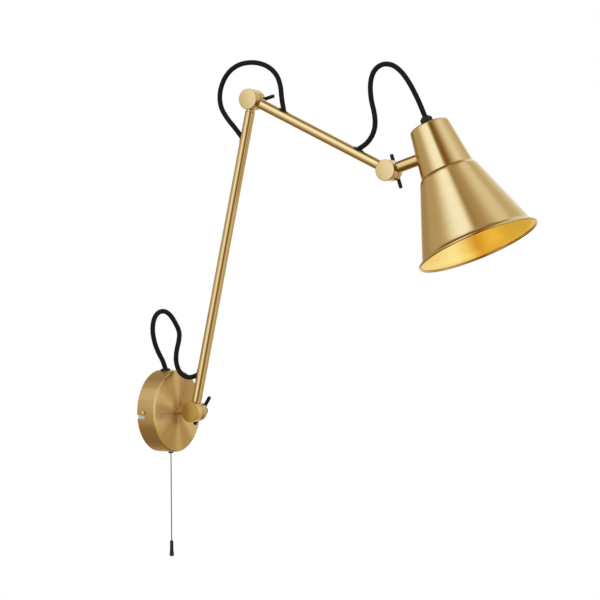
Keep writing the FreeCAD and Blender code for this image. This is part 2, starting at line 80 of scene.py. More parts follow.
# ---------------------------------------------------------------- sizes, mm
CAN_R, CAN_D, CAN_T, CAN_EDGE, CAN_TURN = 50.0, 25.5, 1.0, 1.8, 6.0
RIM_Y, SCREW_Y = -11.0, -8.5
PIV_B, PIV_E, PIV_H = V(0, -50.2, 0), V(0, -137.0, 374.7), V(0, -322.2, 283.6)
DRUM_R, FRONT_X, REAR_X, GAP_X = 12.3, -11.6, 9.1, 0.3
NECK_R, NECK_L, SPIGOT_L, LAP = 5.4, 14.8, 12.0, 0.35
STUD_R, RUN = 2.5, 0.05
HUB_R, HUB_X0, HUB_X1, BAR_X, BAR_R, BAR_L = 6.5, 10.1, 20.0, 16.3, 2.2, 41.5
TUBE_R, TUBE_T, ARM_R = 6.0, 1.0, 6.7
FLEX_R = 3.0
SLOT_S = (46.6, 337.6, 46.0, 158.8)
SH_RIM, SH_TILT = V(0, -435.2, 194.6), 24.2
SH_T, SH_TOP, SH_TOP_R, SH_STEP, SH_STEP_R, SH_LOW_R, SH_RIM_R = 0.8, 151.0, 23.0, 93.6, 31.4, 65.9, 71.3
CORD_X, CORD_R, TOGGLE_TOP, TOGGLE_L = 5.2, 0.65, -159.8, 19.3
U_LOW = (PIV_E - PIV_B).normalized()
U_UP = (PIV_H - PIV_E).normalized()
U_ARM = V(0, -math.cos(math.radians(16.3)), math.sin(math.radians(16.3)))
N_LOW = V(0, U_LOW.z, -U_LOW.y)
N_UP = V(0, U_UP.z, -U_UP.y)
A_SH = V(0, math.sin(math.radians(SH_TILT)), math.cos(math.radians(SH_TILT)))
TURN = math.radians(CAN_TURN)
G_DIR = V(-math.sin(TURN), 0, math.cos(TURN))
B_DIR = V(math.sin(TURN), 0, -math.cos(TURN))


# ---------------------------------------------------------------- materials
class Nodes:
    """A short way to write node trees."""

    def __init__(self, name):
        self.mat = bpy.data.materials.new(name)
        self.mat.use_nodes = True
        self.nt = self.mat.node_tree
        self.nt.nodes.clear()
        self.out = self.nt.nodes.new("ShaderNodeOutputMaterial")
        self.bsdf = self.nt.nodes.new("ShaderNodeBsdfPrincipled")
        self.nt.links.new(self.bsdf.outputs[0], self.out.inputs[0])

    def new(self, kind, **values):
        n = self.nt.nodes.new(kind)
        for k, v in values.items():
            setattr(n, k, v)
        return n

    def link(self, a, b):
        self.nt.links.new(a, b)

    def set(self, **values):
        for k, v in values.items():
            self.bsdf.inputs[k.replace("_", " ")].default_value = v

    def coords(self, kind="Object"):
        return self.new("ShaderNodeTexCoord").outputs[kind]

    def math(self, op, a, b=None, clamp=False):
        n = self.new("ShaderNodeMath", operation=op, use_clamp=clamp)
        for i, x in enumerate((a, b)):
            if x is None:
                continue
            if isinstance(x, (int, float)):
                n.inputs[i].default_value = x
            else:
                self.link(x, n.inputs[i])
        return n.outputs[0]

    def noise(self, vec, scale, detail=3.0, rough=0.6, distortion=0.0):
        n = self.new("ShaderNodeTexNoise")
        n.inputs["Scale"].default_value = scale
        n.inputs["Detail"].default_value = detail
        n.inputs["Roughness"].default_value = rough
        n.inputs["Distortion"].default_value = distortion
        self.link(vec, n.inputs["Vector"])
        return n.outputs["Fac"]

    def mapping(self, vec, scale=(1, 1, 1), rot=(0, 0, 0)):
        n = self.new("ShaderNodeMapping")
        n.inputs["Scale"].default_value = scale
        n.inputs["Rotation"].default_value = rot
        self.link(vec, n.inputs["Vector"])
        return n.outputs[0]

    def remap(self, value, a, b, c, d):
        n = self.new("ShaderNodeMapRange")
        n.inputs["From Min"].default_value = a
        n.inputs["From Max"].default_value = b
        n.inputs["To Min"].default_value = c
        n.inputs["To Max"].default_value = d
        self.link(value, n.inputs["Value"])
        return n.outputs[0]

    def ramp(self, value, stops):
        n = self.new("ShaderNodeValToRGB")
        el = n.color_ramp.elements
        while len(el) > 1:
            el.remove(el[-1])
        el[0].position, el[0].color = stops[0][0], (*stops[0][1], 1)
        for p, c in stops[1:]:
            e = el.new(p)
            e.color = (*c, 1)
        self.link(value, n.inputs[0])
        return n.outputs[0]

    def bump(self, height, strength, distance, normal=None):
        n = self.new("ShaderNodeBump")
        n.inputs["Strength"].default_value = strength
        n.inputs["Distance"].default_value = distance
        self.link(height, n.inputs["Height"])
        if normal is not None:
            self.link(normal, n.inputs["Normal"])
        return n.outputs[0]

    def base(self, c):
        self.link(c, self.bsdf.inputs["Base Color"])

    def rough(self, c):
        self.link(c, self.bsdf.inputs["Roughness"])

    def normal(self, c):
        self.link(c, self.bsdf.inputs["Normal"])


def brass(name, kind, dark, light, rough=(0.27, 0.36), anis=0.0, depth=0.012, axis="Z"):
    """Satin lacquered brass. kind says how the brushing runs: along local Z, round local Z, rings about local Z, or fine all over."""
    n = Nodes(name)
    oc = n.coords()
    sep = n.new("ShaderNodeSeparateXYZ")
    n.link(oc, sep.inputs[0])
    x, y, z = sep.outputs
    if kind == "along":
        ang = n.math("ARCTAN2", y, x)
        comb = n.new("ShaderNodeCombineXYZ")
        n.link(n.math("MULTIPLY", n.math("COSINE", ang), 1.0), comb.inputs[0])
        n.link(n.math("MULTIPLY", n.math("SINE", ang), 1.0), comb.inputs[1])
        n.link(n.math("MULTIPLY", z, 9.0), comb.inputs[2])
        fine = n.noise(comb.outputs[0], 46.0, 4.0, 0.7)
        broad = n.noise(comb.outputs[0], 7.0, 2.0, 0.5)
    elif kind == "round":
        comb = n.new("ShaderNodeCombineXYZ")
        n.link(n.math("MULTIPLY", x, 6.0), comb.inputs[0])
        n.link(n.math("MULTIPLY", y, 6.0), comb.inputs[1])
        n.link(n.math("MULTIPLY", z, 1100.0), comb.inputs[2])
        fine = n.noise(comb.outputs[0], 2.2, 4.0, 0.7)
        broad = n.noise(n.mapping(oc, (9, 9, 60)), 1.6, 2.0, 0.5)
    elif kind == "rings":
        rr = n.math("SQRT", n.math("ADD", n.math("MULTIPLY", x, x), n.math("MULTIPLY", y, y)))
        comb = n.new("ShaderNodeCombineXYZ")
        n.link(n.math("MULTIPLY", rr, 1300.0), comb.inputs[0])
        n.link(n.math("MULTIPLY", n.math("ARCTAN2", y, x), 0.35), comb.inputs[1])
        n.link(n.math("MULTIPLY", z, 900.0), comb.inputs[2])
        fine = n.noise(comb.outputs[0], 2.0, 4.0, 0.7)
        broad = n.noise(comb.outputs[0], 0.14, 2.0, 0.5)
    else:
        fine = n.noise(n.mapping(oc, (1, 1, 0.12)), 2600.0, 3.0, 0.6)
        broad = n.noise(oc, 70.0, 2.0, 0.5)
    mixed = n.math("ADD", n.math("MULTIPLY", fine, 0.65), n.math("MULTIPLY", broad, 0.35))
    n.base(n.ramp(mixed, [(0.30, dark), (0.70, light)]))
    n.rough(n.remap(fine, 0.25, 0.75, rough[0], rough[1]))
    n.normal(n.bump(fine, 0.30, depth * MM))
    n.set(Metallic=1.0, Anisotropic=anis, Anisotropic_Rotation=0.25 if anis else 0.0, Coat_Weight=0.12, Coat_Roughness=0.25, Coat_IOR=1.45)
    if anis:
        t = n.new("ShaderNodeTangent", direction_type="RADIAL", axis=axis)
        n.link(t.outputs[0], n.bsdf.inputs["Tangent"])
    return n.mat


def spun(name, rough, depth):
    """Spun brass disc: fine rings, with painted reflections: pale and dark fans painted by the angle round local Z,
    painted shade and light round the rim, and a painted dark reflection of the stem near the centre.
    """
    n = Nodes(name)
    oc = n.coords()
    sep = n.new("ShaderNodeSeparateXYZ")
    n.link(oc, sep.inputs[0])
    x, y, z = sep.outputs
    rr = n.math("SQRT", n.math("ADD", n.math("MULTIPLY", x, x), n.math("MULTIPLY", y, y)))
    ang = n.math("ARCTAN2", y, x)
    comb = n.new("ShaderNodeCombineXYZ")
    n.link(n.math("MULTIPLY", rr, 1500.0), comb.inputs[0])
    n.link(n.math("MULTIPLY", ang, 0.35), comb.inputs[1])
    n.link(n.math("MULTIPLY", z, 1200.0), comb.inputs[2])
    fine = n.noise(comb.outputs[0], 2.0, 4.0, 0.7)
    fan = n.new("ShaderNodeCombineXYZ")
    n.link(n.math("COSINE", ang), fan.inputs[0])
    n.link(n.math("SINE", ang), fan.inputs[1])
    n.link(n.math("MULTIPLY", rr, 4.0), fan.inputs[2])
    rays = n.noise(fan.outputs[0], 4.5, 3.0, 0.6)
    turn = n.math("ADD", n.math("DIVIDE", ang, 2 * math.pi), 0.5)
    # painted reflections: pale and dark fans on the front face, set by the angle round local Z
    fan_reflection_stops = [(-180, 1.06), (-160, 0.80), (-135, 0.46), (-112, 0.40), (-98, 0.56), (-90, 0.76), (-82, 0.66), (-70, 0.46), (-55, 0.54), (-42, 0.82), (-30, 0.92),
              (-18, 0.62), (0, 0.50), (25, 0.60), (50, 0.50), (68, 0.48), (80, 0.68), (90, 0.86), (99, 0.78), (112, 0.50), (128, 0.54), (145, 0.90),
              (158, 1.06), (170, 1.10), (180, 1.06)]
    painted_fans = n.ramp(turn, [((p + 180) / 360, (v, v, v)) for p, v in fan_reflection_stops])
    # painted shade and light round the rim, set by the angle round local Z
    side = [(-180, 0.44), (-160, 0.44), (-144, 0.64), (-126, 0.66), (-108, 0.62), (-40, 0.60), (0, 0.54), (45, 0.70), (80, 0.72), (103, 0.74), (119, 0.92),
            (136, 1.0), (154, 0.58), (170, 0.44), (180, 0.44)]
    painted_rim_shade = n.ramp(turn, [((p + 180) / 360, (v, v, v)) for p, v in side])
    front = n.remap(z, 23.2 * MM, 24.6 * MM, 0.0, 1.0)
    painted_fans = n.math("ADD", n.math("MULTIPLY", painted_fans, front), n.math("MULTIPLY", painted_rim_shade, n.math("SUBTRACT", 1.0, front)))
    # painted dark reflection of the stem, darkening the front face near its centre
    hub = n.remap(rr, 9.0 * MM, 17.0 * MM, 0.30, 0.0)
    painted_fans = n.math("SUBTRACT", painted_fans, n.math("MULTIPLY", hub, front))
    level = n.math("ADD", n.math("MULTIPLY", painted_fans, 0.78), n.math("ADD", n.math("MULTIPLY", rays, 0.34), n.math("MULTIPLY", fine, 0.10)))
    n.base(n.ramp(level, [(0.20, (0.270, 0.135, 0.025)), (0.34, (0.400, 0.235, 0.070)), (0.60, (0.530, 0.345, 0.125)), (0.80, (0.660, 0.480, 0.200)), (1.0, (0.820, 0.640, 0.330))]))
    n.rough(n.math("ADD", n.remap(fine, 0.25, 0.75, rough[0], rough[1]), n.remap(front, 0.0, 1.0, 0.12, 0.0)))
    n.normal(n.bump(fine, 0.15, depth * MM))
    n.set(Metallic=0.82, Specular_IOR_Level=0.3, Anisotropic=0.7, Anisotropic_Rotation=0.25, Coat_Weight=0.12, Coat_Roughness=0.25, Coat_IOR=1.45)
    t = n.new("ShaderNodeTangent", direction_type="RADIAL", axis="Z")
    n.link(t.outputs[0], n.bsdf.inputs["Tangent"])
    return n.mat


def stem_brass(name):
    """The wall-side half of the base joint: satin, with a painted dark reflection on its flat face, like the canopy's
    painted fans.
    """
    n = Nodes(name)
    oc = n.coords()
    sep = n.new("ShaderNodeSeparateXYZ")
    n.link(oc, sep.inputs[0])
    x, y, z = sep.outputs
    rr = n.math("SQRT", n.math("ADD", n.math("MULTIPLY", x, x), n.math("MULTIPLY", y, y)))
    comb = n.new("ShaderNodeCombineXYZ")
    n.link(n.math("MULTIPLY", rr, 1300.0), comb.inputs[0])
    n.link(n.math("MULTIPLY", z, 1300.0), comb.inputs[2])
    fine = n.noise(comb.outputs[0], 2.0, 4.0, 0.7)
    # painted reflection: the flat face takes a darker brass colour
    painted_shade_face = n.remap(z, -11.3 * MM, -10.7 * MM, 1.0, 0.0)
    mix = n.new("ShaderNodeMix", data_type="RGBA")
    n.link(painted_shade_face, mix.inputs[0])
    n.link(n.ramp(fine, [(0.3, (0.74, 0.52, 0.25)), (0.7, (0.82, 0.58, 0.30))]), mix.inputs[6])
    n.link(n.ramp(fine, [(0.3, (0.43, 0.27, 0.055)), (0.7, (0.49, 0.31, 0.070))]), mix.inputs[7])
    n.base(mix.outputs[2])
    n.rough(n.remap(fine, 0.25, 0.75, 0.22, 0.30))
    n.normal(n.bump(fine, 0.25, 0.003 * MM))
    n.set(Metallic=0.80, Specular_IOR_Level=0.3, Coat_Weight=0.12, Coat_Roughness=0.25, Coat_IOR=1.45)
    return n.mat


def inside(name):
    """The shade's golden inside: a deep lacquer, with painted light and shade by the angle round local Z standing in
    for part of the light thrown between its own walls.
    """
    n = Nodes(name)
    oc = n.coords()
    sep = n.new("ShaderNodeSeparateXYZ")
    n.link(oc, sep.inputs[0])
    x, y, z = sep.outputs
    ang = n.math("ARCTAN2", y, x)
    comb = n.new("ShaderNodeCombineXYZ")
    n.link(n.math("MULTIPLY", x, 6.0), comb.inputs[0])
    n.link(n.math("MULTIPLY", y, 6.0), comb.inputs[1])
    n.link(n.math("MULTIPLY", z, 900.0), comb.inputs[2])
    fine = n.noise(comb.outputs[0], 2.2, 4.0, 0.7)
    turn = n.math("ADD", n.math("DIVIDE", ang, 2 * math.pi), 0.5)
    # painted light and shade: paler and deeper golds set by the angle round local Z
    stops = [(-180, (1.0, 0.70, 0.22)), (-120, (1.0, 0.70, 0.16)), (-70, (1.0, 0.74, 0.13)), (-40, (1.0, 0.73, 0.11)), (0, (0.98, 0.63, 0.065)), (24, (0.84, 0.44, 0.03)),
             (36, (1.0, 0.72, 0.18)), (50, (1.0, 0.83, 0.34)), (100, (1.0, 0.80, 0.29)), (150, (1.0, 0.74, 0.25)), (180, (1.0, 0.70, 0.22))]
    painted_light_tone = n.ramp(turn, [((p + 180) / 360, c) for p, c in stops])
    mix = n.new("ShaderNodeMix", data_type="RGBA", blend_type="MULTIPLY")
    mix.inputs[0].default_value = 1.0
    n.link(painted_light_tone, mix.inputs[6])
    n.link(n.ramp(fine, [(0.3, (0.93, 0.93, 0.93)), (0.7, (1.0, 1.0, 1.0))]), mix.inputs[7])
    n.base(mix.outputs[2])
    n.rough(n.remap(fine, 0.25, 0.75, 0.26, 0.36))
    n.normal(n.bump(fine, 0.3, 0.008 * MM))
    n.set(Metallic=0.45, Specular_IOR_Level=0.4)
    return n.mat


def plastic(name, dark, light, rough=(0.32, 0.45), grain=900.0, depth=0.02, spec=0.5):
    n = Nodes(name)
    oc = n.coords()
    g = n.noise(oc, grain, 3.0, 0.6)
    b = n.noise(oc, 90.0, 2.0, 0.5)
    n.base(n.ramp(b, [(0.3, dark), (0.7, light)]))
    n.rough(n.remap(g, 0.3, 0.7, rough[0], rough[1]))
    n.normal(n.bump(g, 0.3, depth * MM))
    n.set(Specular_IOR_Level=spec)
    return n.mat


def steel(name, dark, light, rough=(0.22, 0.4)):
    n = Nodes(name)
    oc = n.coords()
    g = n.noise(n.mapping(oc, (1, 1, 0.2)), 1500.0, 4.0, 0.65)
    b = n.noise(oc, 60.0, 3.0, 0.6)
    n.base(n.ramp(b, [(0.3, dark), (0.7, light)]))
    n.rough(n.remap(g, 0.3, 0.7, rough[0], rough[1]))
    n.normal(n.bump(g, 0.25, 0.01 * MM))
    n.set(Metallic=1.0)
    return n.mat


def braid_material(name, low, high, fleck):
    """Braided textile: painted shade between strands and painted light on the crowns, with a few pale fibres."""
    n = Nodes(name)
    at = n.new("ShaderNodeAttribute", attribute_name="braid_shade")
    braid_shade = at.outputs["Fac"]
    uv = n.coords("UV")
    fib = n.noise(n.mapping(uv, (60, 60, 60), (0, 0, 0.8)), 3.0, 3.0, 0.7)
    spots = n.noise(n.mapping(uv, (7, 7, 7)), 2.3, 2.0, 0.6)
    # painted shade between the strands, lighter on the crowns
    crown_and_crease_shade = n.math("MULTIPLY", braid_shade, n.remap(fib, 0.3, 0.75, 0.55, 1.0))
    base = n.ramp(crown_and_crease_shade, [(0.15, low), (0.95, high)])
    mix = n.new("ShaderNodeMix", data_type="RGBA")
    n.link(n.remap(n.math("MULTIPLY", spots, crown_and_crease_shade), 0.42, 0.62, 0.0, 0.55), mix.inputs[0])
    n.link(base, mix.inputs[6])
    mix.inputs[7].default_value = (*fleck, 1)
    n.base(mix.outputs[2])
    n.rough(n.remap(fib, 0.3, 0.7, 0.62, 0.8))
    n.normal(n.bump(fib, 0.4, 0.05 * MM))
    n.set(Sheen_Weight=0.06, Sheen_Roughness=0.45, Specular_IOR_Level=0.22)
    n.bsdf.inputs["Sheen Tint"].default_value = (0.6, 0.6, 0.65, 1)
    return n.mat


def glass_opal(name):
    n = Nodes(name)
    oc = n.coords()
    g = n.noise(oc, 400.0, 2.0, 0.5)
    n.base(n.ramp(g, [(0.3, (0.86, 0.86, 0.84)), (0.7, (0.92, 0.92, 0.90))]))
    n.rough(n.remap(g, 0.3, 0.7, 0.24, 0.34))
    n.normal(n.bump(g, 0.1, 0.01 * MM))
    n.set(Subsurface_Weight=0.35, Subsurface_Scale=0.004, Coat_Weight=0.3, Coat_Roughness=0.2)
    return n.mat


DARK, LIGHT = (0.675, 0.515, 0.250), (0.735, 0.575, 0.290)
MATS = {
    "brass_satin": brass("brass_satin", "fine", DARK, LIGHT, (0.15, 0.20), 0.0, 0.004),
    "brass_turned": spun("brass_turned", (0.24, 0.30), 0.005),
    "brass_stem": stem_brass("brass_stem"),
    "brass_sleeve": brass("brass_sleeve", "along", DARK, LIGHT, (0.11, 0.15), 0.0, 0.003),
    "brass_tube": brass("brass_tube", "along", DARK, LIGHT, (0.11, 0.15), 0.0, 0.003),
    "brass_shade": brass("brass_shade", "round", DARK, LIGHT, (0.13, 0.18), 0.50, 0.004, "Z"),
    "brass_inside": inside("brass_inside"),
    "brass_screw": brass("brass_screw", "fine", (0.66, 0.50, 0.26), (0.76, 0.61, 0.36), (0.16, 0.28)),
    "zinc_steel": steel("zinc_steel", (0.52, 0.53, 0.55), (0.66, 0.67, 0.68)),
    "nickel": steel("nickel", (0.60, 0.58, 0.54), (0.72, 0.70, 0.66), (0.14, 0.26)),
    "black_steel": plastic("black_steel", (0.005, 0.005, 0.005), (0.009, 0.009, 0.009), (0.26, 0.36), 700.0, 0.015, 0.35),
    "black_plastic": plastic("black_plastic", (0.005, 0.005, 0.0055), (0.010, 0.010, 0.0105), (0.34, 0.46), 900.0, 0.02, 0.32),
    "black_rubber": plastic("black_rubber", (0.010, 0.010, 0.010), (0.016, 0.016, 0.016), (0.55, 0.7), 1200.0, 0.03, 0.4),
    "white_nylon": plastic("white_nylon", (0.74, 0.74, 0.70), (0.80, 0.80, 0.77), (0.36, 0.5), 800.0, 0.02),
    "black_textile": braid_material("black_textile", (0.0015, 0.0015, 0.0015), (0.011, 0.0105, 0.011), (0.045, 0.043, 0.042)),
    "grey_cord": braid_material("grey_cord", (0.035, 0.034, 0.035), (0.120, 0.117, 0.120), (0.20, 0.195, 0.20)),
    "opal_glass": glass_opal("opal_glass"),
}
slots = {s["node"]: s["material_slot"] for s in frame["record"]["subparts"]}
plain = {}
for slot_name in ("black_textile", "grey_cord"):
    plain[slot_name] = plastic(slot_name + "_inner", (0.010, 0.010, 0.010), (0.02, 0.02, 0.02), (0.6, 0.75), 1500.0, 0.05)
for name, node in frame["nodes"].items():
    node.data.materials.clear()
    node.data.materials.append(plain.get(slots[name], MATS[slots[name]]))


# ---------------------------------------------------------------- mesh helpers
def frame_at(origin, zdir, xdir=V(1, 0, 0)):
    """World matrix, metres, with local Z along zdir and local X as near xdir as it goes."""
    z = Vector(zdir).normalized()
    x = Vector(xdir) - z * Vector(xdir).dot(z)
    if x.length < 1e-6:
        x = V(0, 0, 1) - z * z.z
    x.normalize()
    y = z.cross(x)
    mt = Matrix.Identity(4)
    o = Vector(origin) * MM
    for k in range(3):
        mt[k][0], mt[k][1], mt[k][2], mt[k][3] = x[k], y[k], z[k], o[k]
    return mt


def rounded(points, radii, steps=5):
    """The closed (r, z) outline with the corners at the given indices rounded."""
    out = []
    n = len(points)
    for i in range(n):
        p = Vector(points[i])
        if i not in radii:
            out.append((p.x, p.y))
            continue
        a, b = Vector(points[i - 1]), Vector(points[(i + 1) % n])
        u, w = (a - p).normalized(), (b - p).normalized()
        ang = math.acos(max(-1, min(1, u.dot(w))))
        t = min(radii[i] / math.tan(ang / 2), 0.49 * (a - p).length, 0.49 * (b - p).length)
        rad = t * math.tan(ang / 2)
        c = p + (u + w).normalized() * (rad / math.sin(ang / 2))
        s, e = p + u * t - c, p + w * t - c
        a0 = math.atan2(s.y, s.x)
        da = math.atan2(e.y, e.x) - a0
        da = (da + math.pi) % (2 * math.pi) - math.pi
        for k in range(steps + 1):
            q = a0 + da * k / steps
            out.append((c.x + rad * math.cos(q), c.y + rad * math.sin(q)))
    return out


def lathe_mesh(name, outline, segs=128, shift=None, inner=None):
    """Mesh of the closed (r, z) outline, mm, turned about local Z. shift(angle, r, z) may move a point."""
    bm = bmesh.new()
    rings = []
    for r, z in outline:
        if r < 1e-6:
            rings.append([bm.verts.new((0, 0, z * MM))])
            continue
        row = []
        for k in range(segs):
            a = 2 * math.pi * k / segs
            rq, zq = (r, z) if shift is None else shift(a, r, z)
            row.append(bm.verts.new((rq * math.cos(a) * MM, rq * math.sin(a) * MM, zq * MM)))
        rings.append(row)
    for i in range(len(rings)):
        a, b = rings[i], rings[(i + 1) % len(rings)]
        mat = 1 if inner is not None and i in inner else 0
        for k in range(segs):
            l = (k + 1) % segs
            if len(a) == 1 and len(b) == 1:
                break
            if len(a) == 1:
                f = bm.faces.new((a[0], b[k], b[l]))
            elif len(b) == 1:
                f = bm.faces.new((a[k], b[0], a[l]))
            else:
                f = bm.faces.new((a[k], b[k], b[l], a[l]))
            f.material_index = mat
    bmesh.ops.recalc_face_normals(bm, faces=bm.faces)
    me = bpy.data.meshes.new(name)
    bm.to_mesh(me)
    bm.free()
    if sum(p.normal.dot(p.center - Vector((0, 0, 0))) for p in me.polygons[:0]) < 0:
        me.flip_normals()
    return me


def make(name, mesh, mt, mats=()):
    o = bpy.data.objects.new(name, mesh)
    scene.collection.objects.link(o)
    o.matrix_world = mt
    for q in mats:
        mesh.materials.append(MATS[q])
    return o


def lathe(name, outline, mt, mats=(), segs=128, shift=None, inner=None):
    return make(name, lathe_mesh(name, outline, segs, shift, inner), mt, mats)


def block(name, lo, hi, mt=None):
    """Cutter box, mm."""
    bm = bmesh.new()
    bmesh.ops.create_cube(bm, size=1.0)
    for v in bm.verts:
        v.co = Vector([(lo[k] + hi[k]) / 2 + v.co[k] * (hi[k] - lo[k]) for k in range(3)]) * MM
    me = bpy.data.meshes.new(name)
    bm.to_mesh(me)
    bm.free()
    return make(name, me, mt or Matrix.Identity(4))


def prism(name, outline, h0, h1, mt):
    """Upright prism over the (x, y) outline, mm."""
    bm = bmesh.new()
    lo = [bm.verts.new((x * MM, y * MM, h0 * MM)) for x, y in outline]
    hi = [bm.verts.new((x * MM, y * MM, h1 * MM)) for x, y in outline]
    bm.faces.new(lo[::-1])
    bm.faces.new(hi)
    n = len(outline)
    for k in range(n):
        bm.faces.new((lo[k], lo[(k + 1) % n], hi[(k + 1) % n], hi[k]))
    bmesh.ops.recalc_face_normals(bm, faces=bm.faces)
    me = bpy.data.meshes.new(name)
    bm.to_mesh(me)
    bm.free()
    return make(name, me, mt)


def stadium_outline(length, width, n=16):
    r, d = width / 2, (length - width) / 2
    pts = [(d + r * math.cos(a), r * math.sin(a)) for a in [math.pi * (k / n - 0.5) for k in range(n + 1)]]
    pts += [(-d + r * math.cos(a), r * math.sin(a)) for a in [math.pi * (k / n + 0.5) for k in range(n + 1)]]
    return pts


def apply_mods(o):
    dg = bpy.context.evaluated_depsgraph_get()
    ev = o.evaluated_get(dg)
    me = bpy.data.meshes.new_from_object(ev, preserve_all_data_layers=True, depsgraph=dg)
    me.name = o.name
    o.modifiers.clear()
    old = o.data
    o.data = me
    bpy.data.meshes.remove(old)


def boolean(o, other, op="DIFFERENCE"):
    md = o.modifiers.new("b", "BOOLEAN")
    md.operation = op
    md.solver = "EXACT"
    md.object = other
    md.material_mode = "INDEX"
    bpy.context.view_layer.update()
    apply_mods(o)
    old = other.data
    bpy.data.objects.remove(other)
    bpy.data.meshes.remove(old)


def smooth(o, angle=32):
    o.data.shade_smooth()
    o.data.set_sharp_from_angle(angle=math.radians(angle))
    return o


def done(o, body, nodes, angle=32):
    smooth(o, angle)
    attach(o, body)
    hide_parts(*([nodes] if isinstance(nodes, str) else nodes))
    return o


# ---------------------------------------------------------------- flex and cords
LOOP_BASE = [
    (-5.44, -11.0, 51.86), (-7.9, -9.6, 61.0), (-15.2, -7.6, 71.6), (-26.0, -9.2, 85.2), (-31.7, -10.4, 101.2),
    (-28.5, -11.4, 115.8), (-16.3, -12.7, 123.4), (-2.5, -15.2, 120.0), (4.6, -19.7, 107.5), (2.6, -27.2, 96.5),
    (-4.1, -30.5, 85.5), (-8.7, -29.6, 72.8), (-6.7, -27.6, 59.6), (-4.5, -31.2, 47.4), (-2.5, -40.1, 41.1),
    (-1.1, -51.5, 42.3), (0.0, -58.4, 46.8)]
LOOP_ELBOW = [
    (0, -124.3, 327.2), (0, -112.3, 341.8), (0, -99.4, 355.3), (0, -90.3, 370.4), (0, -90.4, 389.3),
    (0, -99.9, 407.4), (0, -116.3, 418.0), (0, -137.5, 419.9), (0, -157.1, 414.7), (0, -170.8, 403.7),
    (0, -176.7, 389.4), (0, -177.9, 372.0), (0, -181.8, 354.2)]
LOOP_HEAD = [
    (0, -274.8, 307.0), (0, -288.7, 312.4), (0, -299.4, 322.7), (0, -304.3, 335.1), (0, -303.3, 350.0),
    (0, -298.5, 367.0), (0, -297.5, 386.0), (0, -302.7, 399.9), (0, -313.9, 406.6), (0, -327.3, 404.7),
    (0, -338.2, 396.5), (0, -347.6, 384.6), (0, -355.2, 371.5), (0, -362.3, 357.8), (0, -368.55, 342.91)]
PULL = [(CORD_X, RIM_Y, -30.6), (CORD_X, RIM_Y, -73.0), (CORD_X, RIM_Y, -116.0), (CORD_X, RIM_Y, TOGGLE_TOP)]


def spline_points(name, route, resolution):
    """Points along the route's smooth line, metres, and its length."""
    cu = bpy.data.curves.new(name + "_line", "CURVE")
    cu.dimensions = "3D"
    sp = cu.splines.new("NURBS")
    sp.points.add(len(route) - 1)
    for k, p in enumerate(route):
        sp.points[k].co = (p[0] * MM, p[1] * MM, p[2] * MM, 1.0)
    sp.order_u = 3
    sp.use_endpoint_u = True
    sp.resolution_u = resolution
    ob = bpy.data.objects.new(name + "_line", cu)
    scene.collection.objects.link(ob)
    bpy.context.view_layer.update()
    dg = bpy.context.evaluated_depsgraph_get()
    me = bpy.data.meshes.new_from_object(ob.evaluated_get(dg))
    pts = [v.co.copy() for v in me.vertices]
    bpy.data.meshes.remove(me)
    bpy.data.objects.remove(ob)
    bpy.data.curves.remove(cu)
    length = sum((pts[k + 1] - pts[k]).length for k in range(len(pts) - 1))
    return pts, length


def braid_tube(name, pts, radius, segs, strands, pitch, depth, up=V(1, 0, 0)):
    """Tube round the points, mm sizes, whose surface is a braid of two sets of crossing strands."""
    n = len(pts)
    tan = []
    for k in range(n):
        a, b = pts[max(0, k - 1)], pts[min(n - 1, k + 1)]
        tan.append((b - a).normalized())
    x = (up - tan[0] * up.dot(tan[0])).normalized()
    verts, lifts, s = [], [], 0.0
    rows = []
    for k in range(n):
        if k:
            q = tan[k - 1].rotation_difference(tan[k])
            x = (q @ x)
            x = (x - tan[k] * x.dot(tan[k])).normalized()
            s += (pts[k] - pts[k - 1]).length / MM
        y = tan[k].cross(x)
        for j in range(segs):
            th = 2 * math.pi * j / segs
            t = th / (2 * math.pi) * strands
            u1, u2 = t + s / pitch, t - s / pitch
            i1, i2 = math.floor(u1), math.floor(u2)
            p1, p2 = math.cos(math.pi * (u1 - i1 - 0.5)), math.cos(math.pi * (u2 - i2 - 0.5))
            if (i1 + i2) % 2 == 0:
                h = max(p1 * (0.62 + 0.38 * p2), p2 * (0.62 - 0.38 * p1))
            else:
                h = max(p2 * (0.62 + 0.38 * p1), p1 * (0.62 - 0.38 * p2))
            r = (radius - depth * (1 - h)) * MM
            verts.append(pts[k] + x * (r * math.cos(th)) + y * (r * math.sin(th)))
            lifts.append(h)
        rows.append(s)
    faces = []
    for k in range(n - 1):
        for j in range(segs):
            l = (j + 1) % segs
            faces.append((k * segs + j, k * segs + l, (k + 1) * segs + l, (k + 1) * segs + j))
    c0, c1 = len(verts), len(verts) + 1
    verts += [pts[0], pts[-1]]
    lifts += [0.5, 0.5]
    for j in range(segs):
        l = (j + 1) % segs
        faces.append((c0, l, j))
        faces.append((c1, (n - 1) * segs + j, (n - 1) * segs + l))
    me = bpy.data.meshes.new(name)
    me.from_pydata([tuple(v) for v in verts], [], faces)
    me.update()
    # the strand height, which the textile material turns into painted shade between the strands and painted light on
    # the crowns
    at = me.attributes.new("braid_shade", "FLOAT", "POINT")
    at.data.foreach_set("value", lifts)
    uv = me.uv_layers.new(name="UVMap")
    circ = 2 * math.pi * radius
    co = np.zeros(len(me.loops) * 2, np.float32)
    idx = 0
    for f in faces:
        js = [q % segs if q < n * segs else 0 for q in f]
        wrap = (segs - 1) in js and 0 in js
        for q, jj in zip(f, js):
            if q >= n * segs:
                co[idx], co[idx + 1] = 0.0, 0.0
            else:
                ju = segs if (wrap and jj == 0) else jj
                co[idx], co[idx + 1] = ju / segs * circ * 0.1, rows[q // segs] * 0.1
            idx += 2
    uv.data.foreach_set("uv", co)
    me.shade_smooth()
    return me


